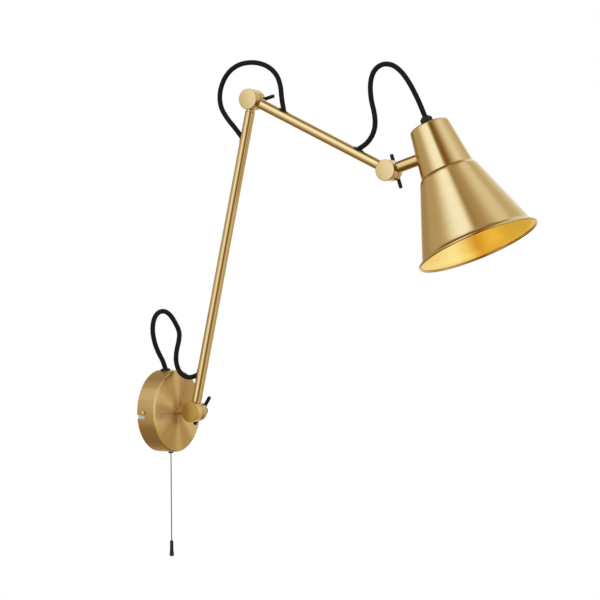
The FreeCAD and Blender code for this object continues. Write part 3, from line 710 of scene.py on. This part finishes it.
def turn_with_length(pts, segs, legs):
    """Works out, for each ring of the flex tube, a weight for how far it would turn from one body to the other along
    the flex's length:
    most of the turn in its two legs, the bight between them nearly still. The weights are not returned or applied.
    legs: how far the first and the last leg reach, and each one's share of the turn."""
    def ease(u):
        u = min(1.0, max(0.0, u))
        return u * u * (3 - 2 * u)

    u1, u2, c1, c2 = legs
    s = [0.0]
    for k in range(1, len(pts)):
        s.append(s[-1] + (pts[k] - pts[k - 1]).length)
    w = []
    for k in range(len(pts)):
        t = (s[k] / s[-1] - 0.05) / 0.90
        w += [c1 * ease(t / u1) + c2 * ease((t - 1 + u2) / u2) + (1 - c1 - c2) * ease(t)] * segs
    w += [0.0, 1.0]


for name, route, a, b, start, end in (
    ("flex_base", LOOP_BASE, "wall_plate", "lower_arm", (0, -0.0095, 0.05), (0, -0.0484, 0.05)),
    ("flex_elbow", LOOP_ELBOW, "lower_arm", "upper_arm", (0, -0.1243, 0.3272), (0, -0.1818, 0.3542)),
    ("flex_head", LOOP_HEAD, "upper_arm", "head", (0, -0.2748, 0.3070), (0, -0.36855, 0.3429)),
):
    pts, length = spline_points(name, route, 44)
    me = braid_tube(name, pts, FLEX_R + 0.03, 66, 11, 1.72, 0.22)
    ob = make(name, me, Matrix.Identity(4), ("black_textile",))
    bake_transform(ob)
    turn_with_length(pts, 66, (0.50, 0.36, 0.60, 0.20) if name == "flex_head" else (0.42, 0.42, 0.375, 0.375))
    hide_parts({"flex_base": "flex_loop_base", "flex_elbow": "flex_loop_elbow", "flex_head": "flex_loop_head"}[name])

pts, length = spline_points("pull", PULL, 240)
me = braid_tube("pull_string", pts, CORD_R + 0.02, 20, 4, 1.0, 0.10)
pull = make("pull_string", me, Matrix.Identity(4), ("grey_cord",))
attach(pull, "pull")
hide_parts("pull_cord")
# return spring of the pull switch, with squared ends
z0, z1, wire, turns, n, segs = -39.4, -30.7, 0.26, 5.0, 260, 12
verts, w = [], []
for k in range(n):
    t = k / (n - 1)
    a = 2 * math.pi * turns * t
    rise = min(1.0, max(0.0, (t * turns - 0.75) / (turns - 1.5)))
    z = z0 + wire + (z1 - z0 - 2 * wire) * rise
    for j in range(segs):
        b = 2 * math.pi * j / segs
        r = 2.5 + wire * math.cos(b)
        verts.append(((CORD_X + r * math.cos(a)) * MM, (RIM_Y + r * math.sin(a)) * MM, (z + wire * math.sin(b)) * MM))
        w.append(rise)
faces = [(k * segs + j, (k + 1) * segs + j, (k + 1) * segs + (j + 1) % segs, k * segs + (j + 1) % segs)
         for k in range(n - 1) for j in range(segs)]
faces += [tuple(range(segs)), tuple((n - 1) * segs + j for j in reversed(range(segs)))]
me = bpy.data.meshes.new("return_spring")
me.from_pydata(verts, [], faces)
me.update()
coil = make("return_spring", me, Matrix.Identity(4), ("zinc_steel",))
smooth(coil, 60)
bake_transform(coil)
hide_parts("switch_spring")

h = TOGGLE_L
outline = rounded([(0, 0), (1.25, 0), (2.12, -1.7), (2.2, -h * 0.62), (2.85, -h), (2.15, -h), (0, -h + 2.4)],
                  {1: 0.6, 2: 1.0, 3: 3.0, 4: 0.3, 5: 0.3})
toggle = lathe("toggle", outline, frame_at(V(CORD_X, RIM_Y, TOGGLE_TOP), V(0, 0, 1)), ("black_plastic",), 64)
done(toggle, "pull", "cord_toggle", 40)


# ---------------------------------------------------------------- canopy
e, t = CAN_EDGE, CAN_T
outline = [(4.1, CAN_D), (12, CAN_D), (24, CAN_D), (36, CAN_D)]
outline += [(CAN_R - e + e * math.sin(a), CAN_D - e + e * math.cos(a)) for a in [math.pi / 2 * k / 8 for k in range(9)]]
outline += [(CAN_R, 14), (CAN_R, 7), (CAN_R, 0.15), (CAN_R - 0.15, 0), (CAN_R - t + 0.15, 0), (CAN_R - t, 0.15)]
i = e - t
outline += [(CAN_R - e + i * math.cos(a), CAN_D - e + i * math.sin(a)) for a in [math.pi / 2 * k / 5 for k in range(6)]]
outline += [(4.1, CAN_D - t)]
canopy = lathe("canopy_shell", outline, frame_at(V(0, 0, 0), V(0, -1, 0)), ("brass_turned",), 288)
zs = CAN_R * math.sin(TURN)
for sx in (-1, 1):
    x0, x1 = (-51.5, -47.0) if sx < 0 else (47.0, 51.5)
    za, zb = (-zs - 2.3, -zs + 2.3) if sx < 0 else (zs - 2.3, zs + 2.3)
    boolean(canopy, block("c", (x0, SCREW_Y - 2.3, za), (x1, 1, zb)))
    za, zb = (-zs - 2.31, 2.3) if sx < 0 else (-2.3, zs + 2.31)
    boolean(canopy, block("c", (x0, SCREW_Y - 2.31, za), (x1, SCREW_Y + 2.3, zb)))
hole = [(0, -5), (4.52, -5), (4.52, 5), (0, 5)]
boolean(canopy, lathe("c", hole, frame_at(V(0, RIM_Y, 0) + G_DIR * CAN_R, G_DIR), (), 48))
hole = [(0, -5), (2.6, -5), (2.6, 5), (0, 5)]
boolean(canopy, lathe("c", hole, frame_at(V(0, RIM_Y, 0) + B_DIR * CAN_R, B_DIR), (), 32))
done(canopy, "wall_plate", "canopy", 28)

# ---------------------------------------------------------------- gland, bush, cord grip
outline = rounded([(3.03, -7.5), (4.5, -7.5), (4.5, 0.03), (5.9, 0.03), (5.9, 1.3), (5.2, 2.1), (3.4, 2.1), (3.03, 1.7)],
                  {3: 0.2, 4: 0.4, 5: 0.4})
done(lathe("gland", outline, frame_at(V(0, RIM_Y, 0) + G_DIR * CAN_R, G_DIR, V(0, -1, 0)), ("black_plastic",), 96),
     "wall_plate", "flex_gland")
outline = rounded([(1.35, -5.5), (2.55, -5.5), (2.55, 0.03), (3.5, 0.03), (3.5, 1.5), (2.6, 2.6), (1.7, 2.6), (1.35, 2.2)],
                  {3: 0.2, 4: 0.4, 5: 0.3})
done(lathe("bush", outline, frame_at(V(0, RIM_Y, 0) + B_DIR * CAN_R, B_DIR, V(0, -1, 0)), ("black_plastic",), 64),
     "wall_plate", "cord_bush")


def hexed(a, r, z):
    """The wide part of the cord grip has six soft flats."""
    if r < 6.6 or z < 0.1 or z > 9.6:
        return r, z
    q = (a + math.pi / 6) % (math.pi / 3) - math.pi / 6
    flat = 6.88 / math.cos(q)
    return min(r, flat), z


outline = rounded([(3.06, -9.0), (5.0, -9.0), (5.0, 0.02), (7.3, 0.02), (7.55, 0.5), (7.55, 8.2), (6.9, 9.3), (5.5, 9.8),
                   (5.2, 10.7), (4.7, 11.6), (3.6, 11.6), (3.06, 11.0)],
                  {4: 0.3, 5: 0.5, 6: 0.4, 7: 0.4, 8: 0.6, 9: 0.6, 10: 0.2})
grip = lathe("cord_grip_body", outline, frame_at(SH_RIM + A_SH * SH_TOP, A_SH), ("black_plastic",), 144, hexed)
done(grip, "head", "cord_grip", 30)


# ---------------------------------------------------------------- half drums
def around_x(pivot):
    return frame_at(pivot, V(1, 0, 0), V(0, 0, 1))


def half_drum(name, side, pivot, direction, neck_r=NECK_R, neck_l=NECK_L, tail=(), mat="brass_satin"):
    """Disc on its own side of the middle plane, neck centred on that plane, and what follows the neck."""
    if side == "front":
        z0, z1 = FRONT_X, -GAP_X
        body = rounded([(0, z0), (DRUM_R, z0), (DRUM_R, z1), (STUD_R + 0.02, z1), (STUD_R + 0.02, z0 + 3.2), (0, z0 + 3.2)],
                       {1: 0.75, 2: 0.25}, 6)
    else:
        z0, z1 = GAP_X, REAR_X
        body = rounded([(STUD_R + RUN, z0), (DRUM_R, z0), (DRUM_R, z1), (STUD_R + RUN, z1)], {1: 0.25, 2: 0.75}, 6)
    drum = lathe(name, body, around_x(pivot), (mat,), 160)
    outline = [(0, 3.0), (neck_r, 3.0), (neck_r, neck_l - 0.25), (neck_r - 0.25, neck_l)]
    outline = rounded(outline, {2: 0.15, 3: 0.1}, 4)
    for r, z in tail:
        outline.append((r, z))
    outline.append((0, outline[-1][1]))
    neck = lathe("n", outline, frame_at(pivot, direction), (), 112)
    if side == "front":
        boolean(neck, lathe("c", [(0, -GAP_X), (DRUM_R + LAP, -GAP_X), (DRUM_R + LAP, 30), (0, 30)], around_x(pivot), (), 160))
        boolean(neck, lathe("c", [(0, -9.0), (DRUM_R - 1, -9.0), (DRUM_R - 1, -0.2), (0, -0.2)], around_x(pivot), (), 96))
    else:
        boolean(neck, lathe("c", [(0, -30), (DRUM_R + LAP, -30), (DRUM_R + LAP, GAP_X), (0, GAP_X)], around_x(pivot), (), 160))
        boolean(neck, lathe("c", [(0, 0.2), (DRUM_R - 1, 0.2), (DRUM_R - 1, 8.0), (0, 8.0)], around_x(pivot), (), 96))
    boolean(drum, neck, "UNION")
    return drum


SPIGOT = [(TUBE_R - TUBE_T - 0.03, NECK_L), (TUBE_R - TUBE_T - 0.03, NECK_L + SPIGOT_L - 0.5), (TUBE_R - TUBE_T - 0.5, NECK_L + SPIGOT_L)]
stem_len = -CAN_D - PIV_B.y
tail = [(5.0, NECK_L), (5.0, stem_len), (4.0, stem_len), (4.0, stem_len + 9.0)]
done(half_drum("base_joint", "front", PIV_B, V(0, 1, 0), tail=tail, mat="brass_stem"), "wall_plate", "base_stem_joint")
done(half_drum("lower_foot", "rear", PIV_B, U_LOW, tail=SPIGOT), "lower_arm", "lower_foot_joint")
done(half_drum("lower_head", "front", PIV_E, -U_LOW, tail=SPIGOT), "lower_arm", "lower_head_joint")
done(half_drum("upper_foot", "rear", PIV_E, U_UP, tail=SPIGOT), "upper_arm", "upper_foot_joint")
done(half_drum("upper_head", "front", PIV_H, -U_UP, tail=SPIGOT), "upper_arm", "upper_head_joint")
tail = [(4.0, NECK_L), (4.0, NECK_L + 34.0)]
done(half_drum("shade_joint", "rear", PIV_H, U_ARM, neck_r=6.2, tail=tail), "head", "head_joint")

# ---------------------------------------------------------------- knobs
BARS = {"base": (PIV_B, (-0.552, 0.834)), "elbow": (PIV_E, (-0.974, 0.226)), "head": (PIV_H, (0.297, 0.955))}


def fluted(a, r, z):
    if r < HUB_R - 0.2 or z < HUB_X0 + 0.8 or z > HUB_X1 - 1.2:
        return r, z
    return r - 0.28 * (0.5 - 0.5 * math.cos(24 * a)) ** 2, z


for name, (pivot, d) in BARS.items():
    direction = V(0, *d).normalized()
    outline = [(STUD_R + RUN, HUB_X0), (HUB_R - 0.5, HUB_X0), (HUB_R, HUB_X0 + 0.5), (HUB_R, HUB_X0 + 0.9), (HUB_R, 12.5),
               (HUB_R, 15.0), (HUB_R, HUB_X1 - 1.3), (HUB_R, HUB_X1 - 1.0), (HUB_R - 1.0, HUB_X1), (0, HUB_X1), (0, 13.6),
               (STUD_R + RUN, 13.6)]
    hub = lathe(name + "_hub", rounded(outline, {8: 0.5}), frame_at(V(0, pivot.y, pivot.z), V(1, 0, 0), V(0, 0, 1)),
                ("black_plastic",), 192, fluted)
    centre = V(BAR_X, pivot.y, pivot.z)
    boolean(hub, lathe("c", [(0, -12), (BAR_R + 0.02, -12), (BAR_R + 0.02, 12), (0, 12)], frame_at(centre, direction), (), 64))
    done(hub, name + "_knob", name + "_knob_hub", 30)
    half = BAR_L / 2
    outline = rounded([(0, -half), (BAR_R, -half), (BAR_R, half), (0, half)], {1: 1.45, 2: 1.45}, 8)
    bar = lathe(name + "_bar", outline, frame_at(centre, direction), ("black_steel",), 64)
    done(bar, name + "_knob", name + "_knob_bar", 40)


# ---------------------------------------------------------------- tubes
def arm(name, pivot, u, length, n, slots_at, body, node):
    r0, r1 = TUBE_R - TUBE_T, TUBE_R
    z0, z1 = NECK_L + 0.02, length - NECK_L - 0.02
    outline = [(r0, z0), (r1 - 0.18, z0), (r1, z0 + 0.18)]
    steps = 24
    outline += [(r1, z0 + 0.18 + (z1 - z0 - 0.36) * k / steps) for k in range(1, steps)]
    outline += [(r1, z1 - 0.18), (r1 - 0.18, z1), (r0, z1)]
    tube = lathe(name, outline, frame_at(pivot, u), ("brass_tube",), 128)
    for sd in slots_at:
        boolean(tube, prism("c", stadium_outline(11.24, 7.44), 0, 10, frame_at(pivot + u * sd, n, u)))
    return done(tube, body, node, 30)


arm("lower_arm_tube", PIV_B, U_LOW, (PIV_E - PIV_B).length, N_LOW, SLOT_S[:2], "lower_arm", "lower_tube")
arm("upper_arm_tube", PIV_E, U_UP, (PIV_H - PIV_E).length, N_UP, SLOT_S[2:], "upper_arm", "upper_tube")


# ---------------------------------------------------------------- shade
def r_up(L):
    return SH_STEP_R + (SH_TOP_R - SH_STEP_R) * (L - SH_STEP) / (SH_TOP - SH_STEP)


sleeve = lathe("shade_sleeve", [(4.06, NECK_L + 0.02), (ARM_R - 0.2, NECK_L + 0.02), (ARM_R, NECK_L + 0.22), (ARM_R, 60), (4.06, 60)],
               frame_at(PIV_H, U_ARM), ("brass_sleeve",), 128)
boolean(sleeve, lathe("c", [(0, SH_STEP - 8), (SH_STEP_R + 1.2, SH_STEP - 8), (SH_STEP_R + 0.03, SH_STEP), (r_up(SH_TOP) + 0.03, SH_TOP), (0, SH_TOP)],
                      frame_at(SH_RIM, A_SH), (), 256))
bm = bmesh.new()
bm.from_mesh(sleeve.data)
keep = PIV_H * MM
left = [v for v in bm.verts if ((sleeve.matrix_world @ v.co) - keep).dot(U_ARM) > 0.048]
bmesh.ops.delete(bm, geom=left, context="VERTS")
bm.to_mesh(sleeve.data)
bm.free()
done(sleeve, "head", "head_sleeve", 40)

t = SH_T
cr = 3.2
ct = r_up(SH_TOP - cr)
out = [(5.1, SH_TOP), (10.0, SH_TOP)]
out += [(ct - cr + cr * math.sin(a), SH_TOP - cr + cr * math.cos(a)) for a in [math.pi / 2 * k / 10 for k in range(11)]]
L1 = SH_STEP + 0.75
for k in range(1, 15):
    L = SH_TOP - cr + (L1 - SH_TOP + cr) * k / 14
    out.append((r_up(L), L))
# crease, then a rounded shoulder into the lower cone
shoulder = [(31.36, 93.95), (31.42, 93.80), (31.60, 93.66), (31.90, 93.42), (32.37, 93.0), (32.90, 92.47), (33.42, 91.9), (33.90, 91.28), (34.35, 90.6),
            (34.77, 89.85), (35.16, 89.0), (35.55, 88.0)]
out += shoulder
for k in range(1, 23):
    L = 88.0 + (7.2 - 88.0) * k / 22
    out.append((35.55 + (65.40 - 35.55) * k / 22, L))
out += [(66.05, 5.75), (66.9, 4.45), (67.9, 3.55), (69.0, 3.05), (69.9, 2.9)]
bead = [(SH_RIM_R - 1.4 + 1.4 * math.sin(a), 1.5 + 1.4 * math.cos(a)) for a in [math.pi * 2 * k / 28 for k in range(0, 23)]]
out += bead[0:]
inn = [(68.45, 1.9), (67.9, 2.45), (66.9, 3.3), (66.0, 4.4), (SH_LOW_R - 0.85, 5.4)]
n_out = len(out)
for k in range(1, 15):
    L = 5.4 + (87.7 - 5.4) * k / 14
    inn.append((SH_LOW_R - 0.85 + (34.76 - SH_LOW_R + 0.85) * k / 14, L))
inn += [(34.35, 88.75), (33.92, 89.65), (33.45, 90.45), (32.85, 91.25), (32.15, 92.0), (31.44, 92.65), (30.95, 93.1), (30.65, 93.55), (r_up(94.6) - t, 94.5)]
for k in range(1, 7):
    L = 94.5 + (SH_TOP - cr - 94.5) * k / 6
    inn.append((r_up(L) - t, L))
inn += [(ct - cr + (cr - t) * math.cos(a), SH_TOP - cr + (cr - t) * math.sin(a)) for a in [math.pi / 2 * k / 6 for k in range(1, 7)]]
inn += [(10.0, SH_TOP - t), (5.1, SH_TOP - t)]
outline = out + inn
inner = set(range(n_out + 1, len(outline) - 1))
shade = lathe("shade_shell", outline, frame_at(SH_RIM, A_SH), ("brass_shade", "brass_inside"), 320, None, inner)
boolean(shade, lathe("c", [(0, 30), (4.1, 30), (4.1, 48), (0, 48)], frame_at(PIV_H, U_ARM), (), 64))
done(shade, "head", "shade", 38)

# ---------------------------------------------------------------- lampholder and lamp
SHADE = frame_at(SH_RIM, A_SH)
outline = rounded([(5.05, SH_TOP - 3.3), (9.0, SH_TOP - 3.3), (13.2, SH_TOP - 8.0), (13.6, 127.0), (11.0, 127.0), (11.0, SH_TOP - 9.5), (5.05, SH_TOP - 6.0)],
                  {1: 1.5, 2: 2.0, 3: 0.3})
done(lathe("holder_cap", outline, SHADE, ("white_nylon",), 96), "head", "lampholder_cap")


def ribbed(a, r, z):
    if r < 13.3 or z > 116.5 or z < 99:
        return r, z
    return r - 0.35 * (0.5 - 0.5 * math.cos(30 * a)) ** 2, z


outline = [(0, 126.9), (13.4, 126.9), (13.4, 118.0), (14.1, 117.6), (14.1, 116.2), (14.1, 107.0), (14.1, 99.2), (14.1, 98.0), (13.0, 96.8), (7.1, 96.8),
           (7.1, 121.5), (0, 121.5)]
done(lathe("holder_body", rounded(outline, {3: 0.2, 7: 0.4, 8: 0.4}), SHADE, ("white_nylon",), 180, ribbed), "head", "lampholder_body")


def thread(a, r, z):
    if r < 6.9 or z < 98.5 or z > 112.5:
        return r, z
    return r - 0.3 * (0.5 - 0.5 * math.cos(2 * math.pi * (z / 2.8) + a)), z


outline = [(0, 96.6), (7.0, 96.6)] + [(7.0, 98.0 + 0.28 * k) for k in range(54)] + [(7.0, 114.0), (4.5, 117.0), (2.6, 118.6), (0, 118.8)]
done(lathe("lamp_screw", outline, SHADE, ("nickel",), 96, thread), "head", "lamp_cap")
outline = rounded([(0, 96.5), (9.0, 96.5), (12.0, 94.5), (19.4, 80.6), (0, 80.6)], {1: 0.8, 2: 4.0, 3: 0.4}, 8)
done(lathe("lamp_neck", outline, SHADE, ("white_nylon",), 128), "head", "lamp_collar")
gr, gz, zt = 22.5, 69.1, 80.5
a0 = math.asin((zt - gz) / gr)
outline = [(gr * math.cos(a), gz + gr * math.sin(a)) for a in [a0 - (a0 + math.pi / 2) * k / 40 for k in range(40)]] + [(0, gz - gr), (0, gz - gr + 1.0)]
ai = math.asin((zt - gz) / (gr - 1.0))
outline += [((gr - 1) * math.cos(a), gz + (gr - 1) * math.sin(a)) for a in [-math.pi / 2 + (ai + math.pi / 2) * k / 40 for k in range(1, 41)]]
done(lathe("lamp_bulb", outline, SHADE, ("opal_glass",), 128), "head", "lamp_globe", 60)

# ---------------------------------------------------------------- floor
bm = bmesh.new()
rings = [0.0, 0.4, 0.9, 1.6, 2.4, 3.2]
last = None
for r in rings:
    row = [bm.verts.new((r * math.cos(2 * math.pi * k / 96), r * math.sin(2 * math.pi * k / 96), -1.0)) for k in range(96)] if r else [bm.verts.new((0, 0, -1.0))]
    if last is not None:
        for k in range(96):
            l = (k + 1) % 96
            if len(last) == 1:
                bm.faces.new((last[0], row[k], row[l]))
            else:
                bm.faces.new((last[k], row[k], row[l], last[l]))
    last = row
me = bpy.data.meshes.new("floor")
bm.to_mesh(me)
bm.free()
floor_mat = Nodes("floor_paint")
g = floor_mat.noise(floor_mat.coords(), 3.0, 3.0, 0.5)
floor_mat.base(floor_mat.ramp(g, [(0.3, (0.86, 0.86, 0.86)), (0.7, (0.90, 0.90, 0.90))]))
floor_mat.set(Roughness=0.9)
me.materials.append(floor_mat.mat)
floor = bpy.data.objects.new("floor", me)
scene.collection.objects.link(floor)
floor.visible_glossy = False

# ---------------------------------------------------------------- light
world = bpy.data.worlds.new("studio")
scene.world = world
world.use_nodes = True
nt = world.node_tree
nt.nodes.clear()


def wn(kind, **values):
    n = nt.nodes.new(kind)
    for k, v in values.items():
        setattr(n, k, v)
    return n


def wmath(op, a, b=None):
    n = wn("ShaderNodeMath", operation=op)
    for i, x in enumerate((a, b)):
        if x is None:
            continue
        if isinstance(x, (int, float)):
            n.inputs[i].default_value = x
        else:
            nt.links.new(x, n.inputs[i])
    return n.outputs[0]


def wramp(value, stops, lo, hi):
    n = wn("ShaderNodeValToRGB")
    n.color_ramp.interpolation = "CARDINAL"
    el = n.color_ramp.elements
    while len(el) > 1:
        el.remove(el[-1])
    el[0].position, el[0].color = (stops[0][0] - lo) / (hi - lo), (stops[0][1] / 1.5,) * 3 + (1,)
    for p, b in stops[1:]:
        q = el.new((p - lo) / (hi - lo))
        q.color = (b / 1.5,) * 3 + (1,)
    nt.links.new(value, n.inputs[0])
    return wmath("MULTIPLY", n.outputs[0], 1.5)


def wstep(value, a, b):
    n = wn("ShaderNodeMapRange", interpolation_type="SMOOTHSTEP")
    n.inputs["From Min"].default_value = a
    n.inputs["From Max"].default_value = b
    nt.links.new(value, n.inputs["Value"])
    return n.outputs[0]


def wmix(f, a, b):
    """a to b as f goes from 0 to 1."""
    return wmath("ADD", wmath("MULTIPLY", a, wmath("SUBTRACT", 1.0, f)), wmath("MULTIPLY", b, f))


tc = wn("ShaderNodeTexCoord")
sp = wn("ShaderNodeSeparateXYZ")
nt.links.new(tc.outputs["Generated"], sp.inputs[0])
az = wmath("MULTIPLY", wmath("ARCTAN2", sp.outputs[1], sp.outputs[0]), 180 / math.pi)
elev = wmath("MULTIPLY", wmath("ARCSINE", sp.outputs[2]), 180 / math.pi)
# the room's bright and dark upright bands lean: the angle round runs from +X towards +Y and slides with height
lean = wmath("ADD", az, wmath("MULTIPLY", elev, 0.46))
turn01 = wmath("FRACT", wmath("DIVIDE", wmath("ADD", lean, 180.0), 360.0))
LOW = [(-180, 1.05), (-170, 0.80), (-161, 0.42), (-152, 0.24), (-143, 0.26), (-133, 0.48), (-123, 0.72), (-112, 0.86), (-102, 0.93), (-86, 0.86), (-68, 0.72),
       (-50, 0.62), (-33, 0.66), (-16, 0.76), (0, 0.86), (14, 0.98), (26, 0.97), (38, 0.77), (50, 0.53), (65, 0.48), (82, 0.52), (100, 0.58),
       (116, 0.60), (132, 0.66), (140, 0.79), (148, 0.94), (157, 1.10), (168, 1.20), (180, 1.05)]
MIDDLE = [(-180, 1.32), (-171, 1.34), (-164, 1.22), (-158, 0.80), (-152, 0.38), (-144, 0.24), (-132, 0.28), (-120, 0.42), (-108, 0.62), (-98, 0.80),
          (-86, 0.94), (-74, 1.04), (-58, 1.04), (-44, 0.95), (-30, 0.86), (-16, 0.76), (-4, 0.70), (6, 0.77), (16, 0.95), (26, 1.0), (38, 0.75),
          (50, 0.46), (65, 0.42), (80, 0.51), (96, 0.62), (112, 0.63), (126, 0.66), (136, 0.78), (145, 0.98), (156, 1.18), (168, 1.30), (180, 1.30)]
HIGH = [(-180, 0.60), (-163, 0.53), (-141, 0.52), (-107, 0.60), (-65, 0.85), (-33, 0.95), (-13, 0.95), (0, 0.85), (20, 0.60), (45, 0.45), (90, 0.45),
        (130, 0.50), (160, 0.62), (180, 0.60)]
DOWN = [(-90, 0.24), (-60, 0.29), (-46, 0.41), (-32, 0.64), (-20, 0.87), (-10, 0.99), (0, 1.0), (90, 1.0)]
glow = wmix(wstep(elev, -10.0, 35.0), wramp(turn01, LOW, -180, 180), wramp(turn01, MIDDLE, -180, 180))
glow = wmix(wstep(elev, 50.0, 67.0), glow, wramp(turn01, HIGH, -180, 180))
glow = wmix(wstep(elev, 72.0, 86.0), glow, wmath("ADD", 0.38, 0.0))
glow = wmath("MULTIPLY", glow, wramp(wmath("DIVIDE", wmath("ADD", elev, 90.0), 180.0), DOWN, -90, 90))
# a dark part of the room, high behind the camera's left
dot = wn("ShaderNodeVectorMath", operation="DOT_PRODUCT")
nt.links.new(tc.outputs["Generated"], dot.inputs[0])
dot.inputs[1].default_value = (0.056, 0.640, 0.766)
glow = wmath("MULTIPLY", glow, wmix(wstep(dot.outputs["Value"], 0.85, 0.97), wmath("ADD", 1.0, 0.0), wmath("ADD", 0.42, 0.0)))
tint = wn("ShaderNodeCombineColor")
nt.links.new(glow, tint.inputs[0])
nt.links.new(wmath("POWER", glow, 1.38), tint.inputs[1])
nt.links.new(wmath("POWER", glow, 2.10), tint.inputs[2])
lit = wn("ShaderNodeBackground")
nt.links.new(tint.outputs[0], lit.inputs[0])
lit.inputs[1].default_value = 1.0
white = wn("ShaderNodeBackground")
white.inputs[0].default_value = (1, 1, 1, 1)
white.inputs[1].default_value = 1.0
lp = wn("ShaderNodeLightPath")
mixw = wn("ShaderNodeMixShader")
nt.links.new(lp.outputs["Is Camera Ray"], mixw.inputs[0])
nt.links.new(lit.outputs[0], mixw.inputs[1])
nt.links.new(white.outputs[0], mixw.inputs[2])
ow = wn("ShaderNodeOutputWorld")
nt.links.new(mixw.outputs[0], ow.inputs[0])


def area(name, place, target, size, power, size_y=None):
    l = bpy.data.lights.new(name, "AREA")
    l.shape = "RECTANGLE"
    l.size, l.size_y = size, size_y or size
    l.energy = power
    o = bpy.data.objects.new(name, l)
    scene.collection.objects.link(o)
    d = Vector(target) - Vector(place)
    o.matrix_world = Matrix.Translation(place) @ d.to_track_quat("-Z", "Y").to_matrix().to_4x4()
    o.visible_glossy = False
    return o


mid = (0, -0.22, 0.2)
area("key", (-2.3, -0.35, 1.1), mid, 1.0, 12, 1.6)
area("fill", (-0.9, -2.4, 0.7), mid, 1.0, 5, 1.4)
area("under", (-0.45, -1.25, -0.55), (0, -0.42, 0.22), 0.7, 10.5)
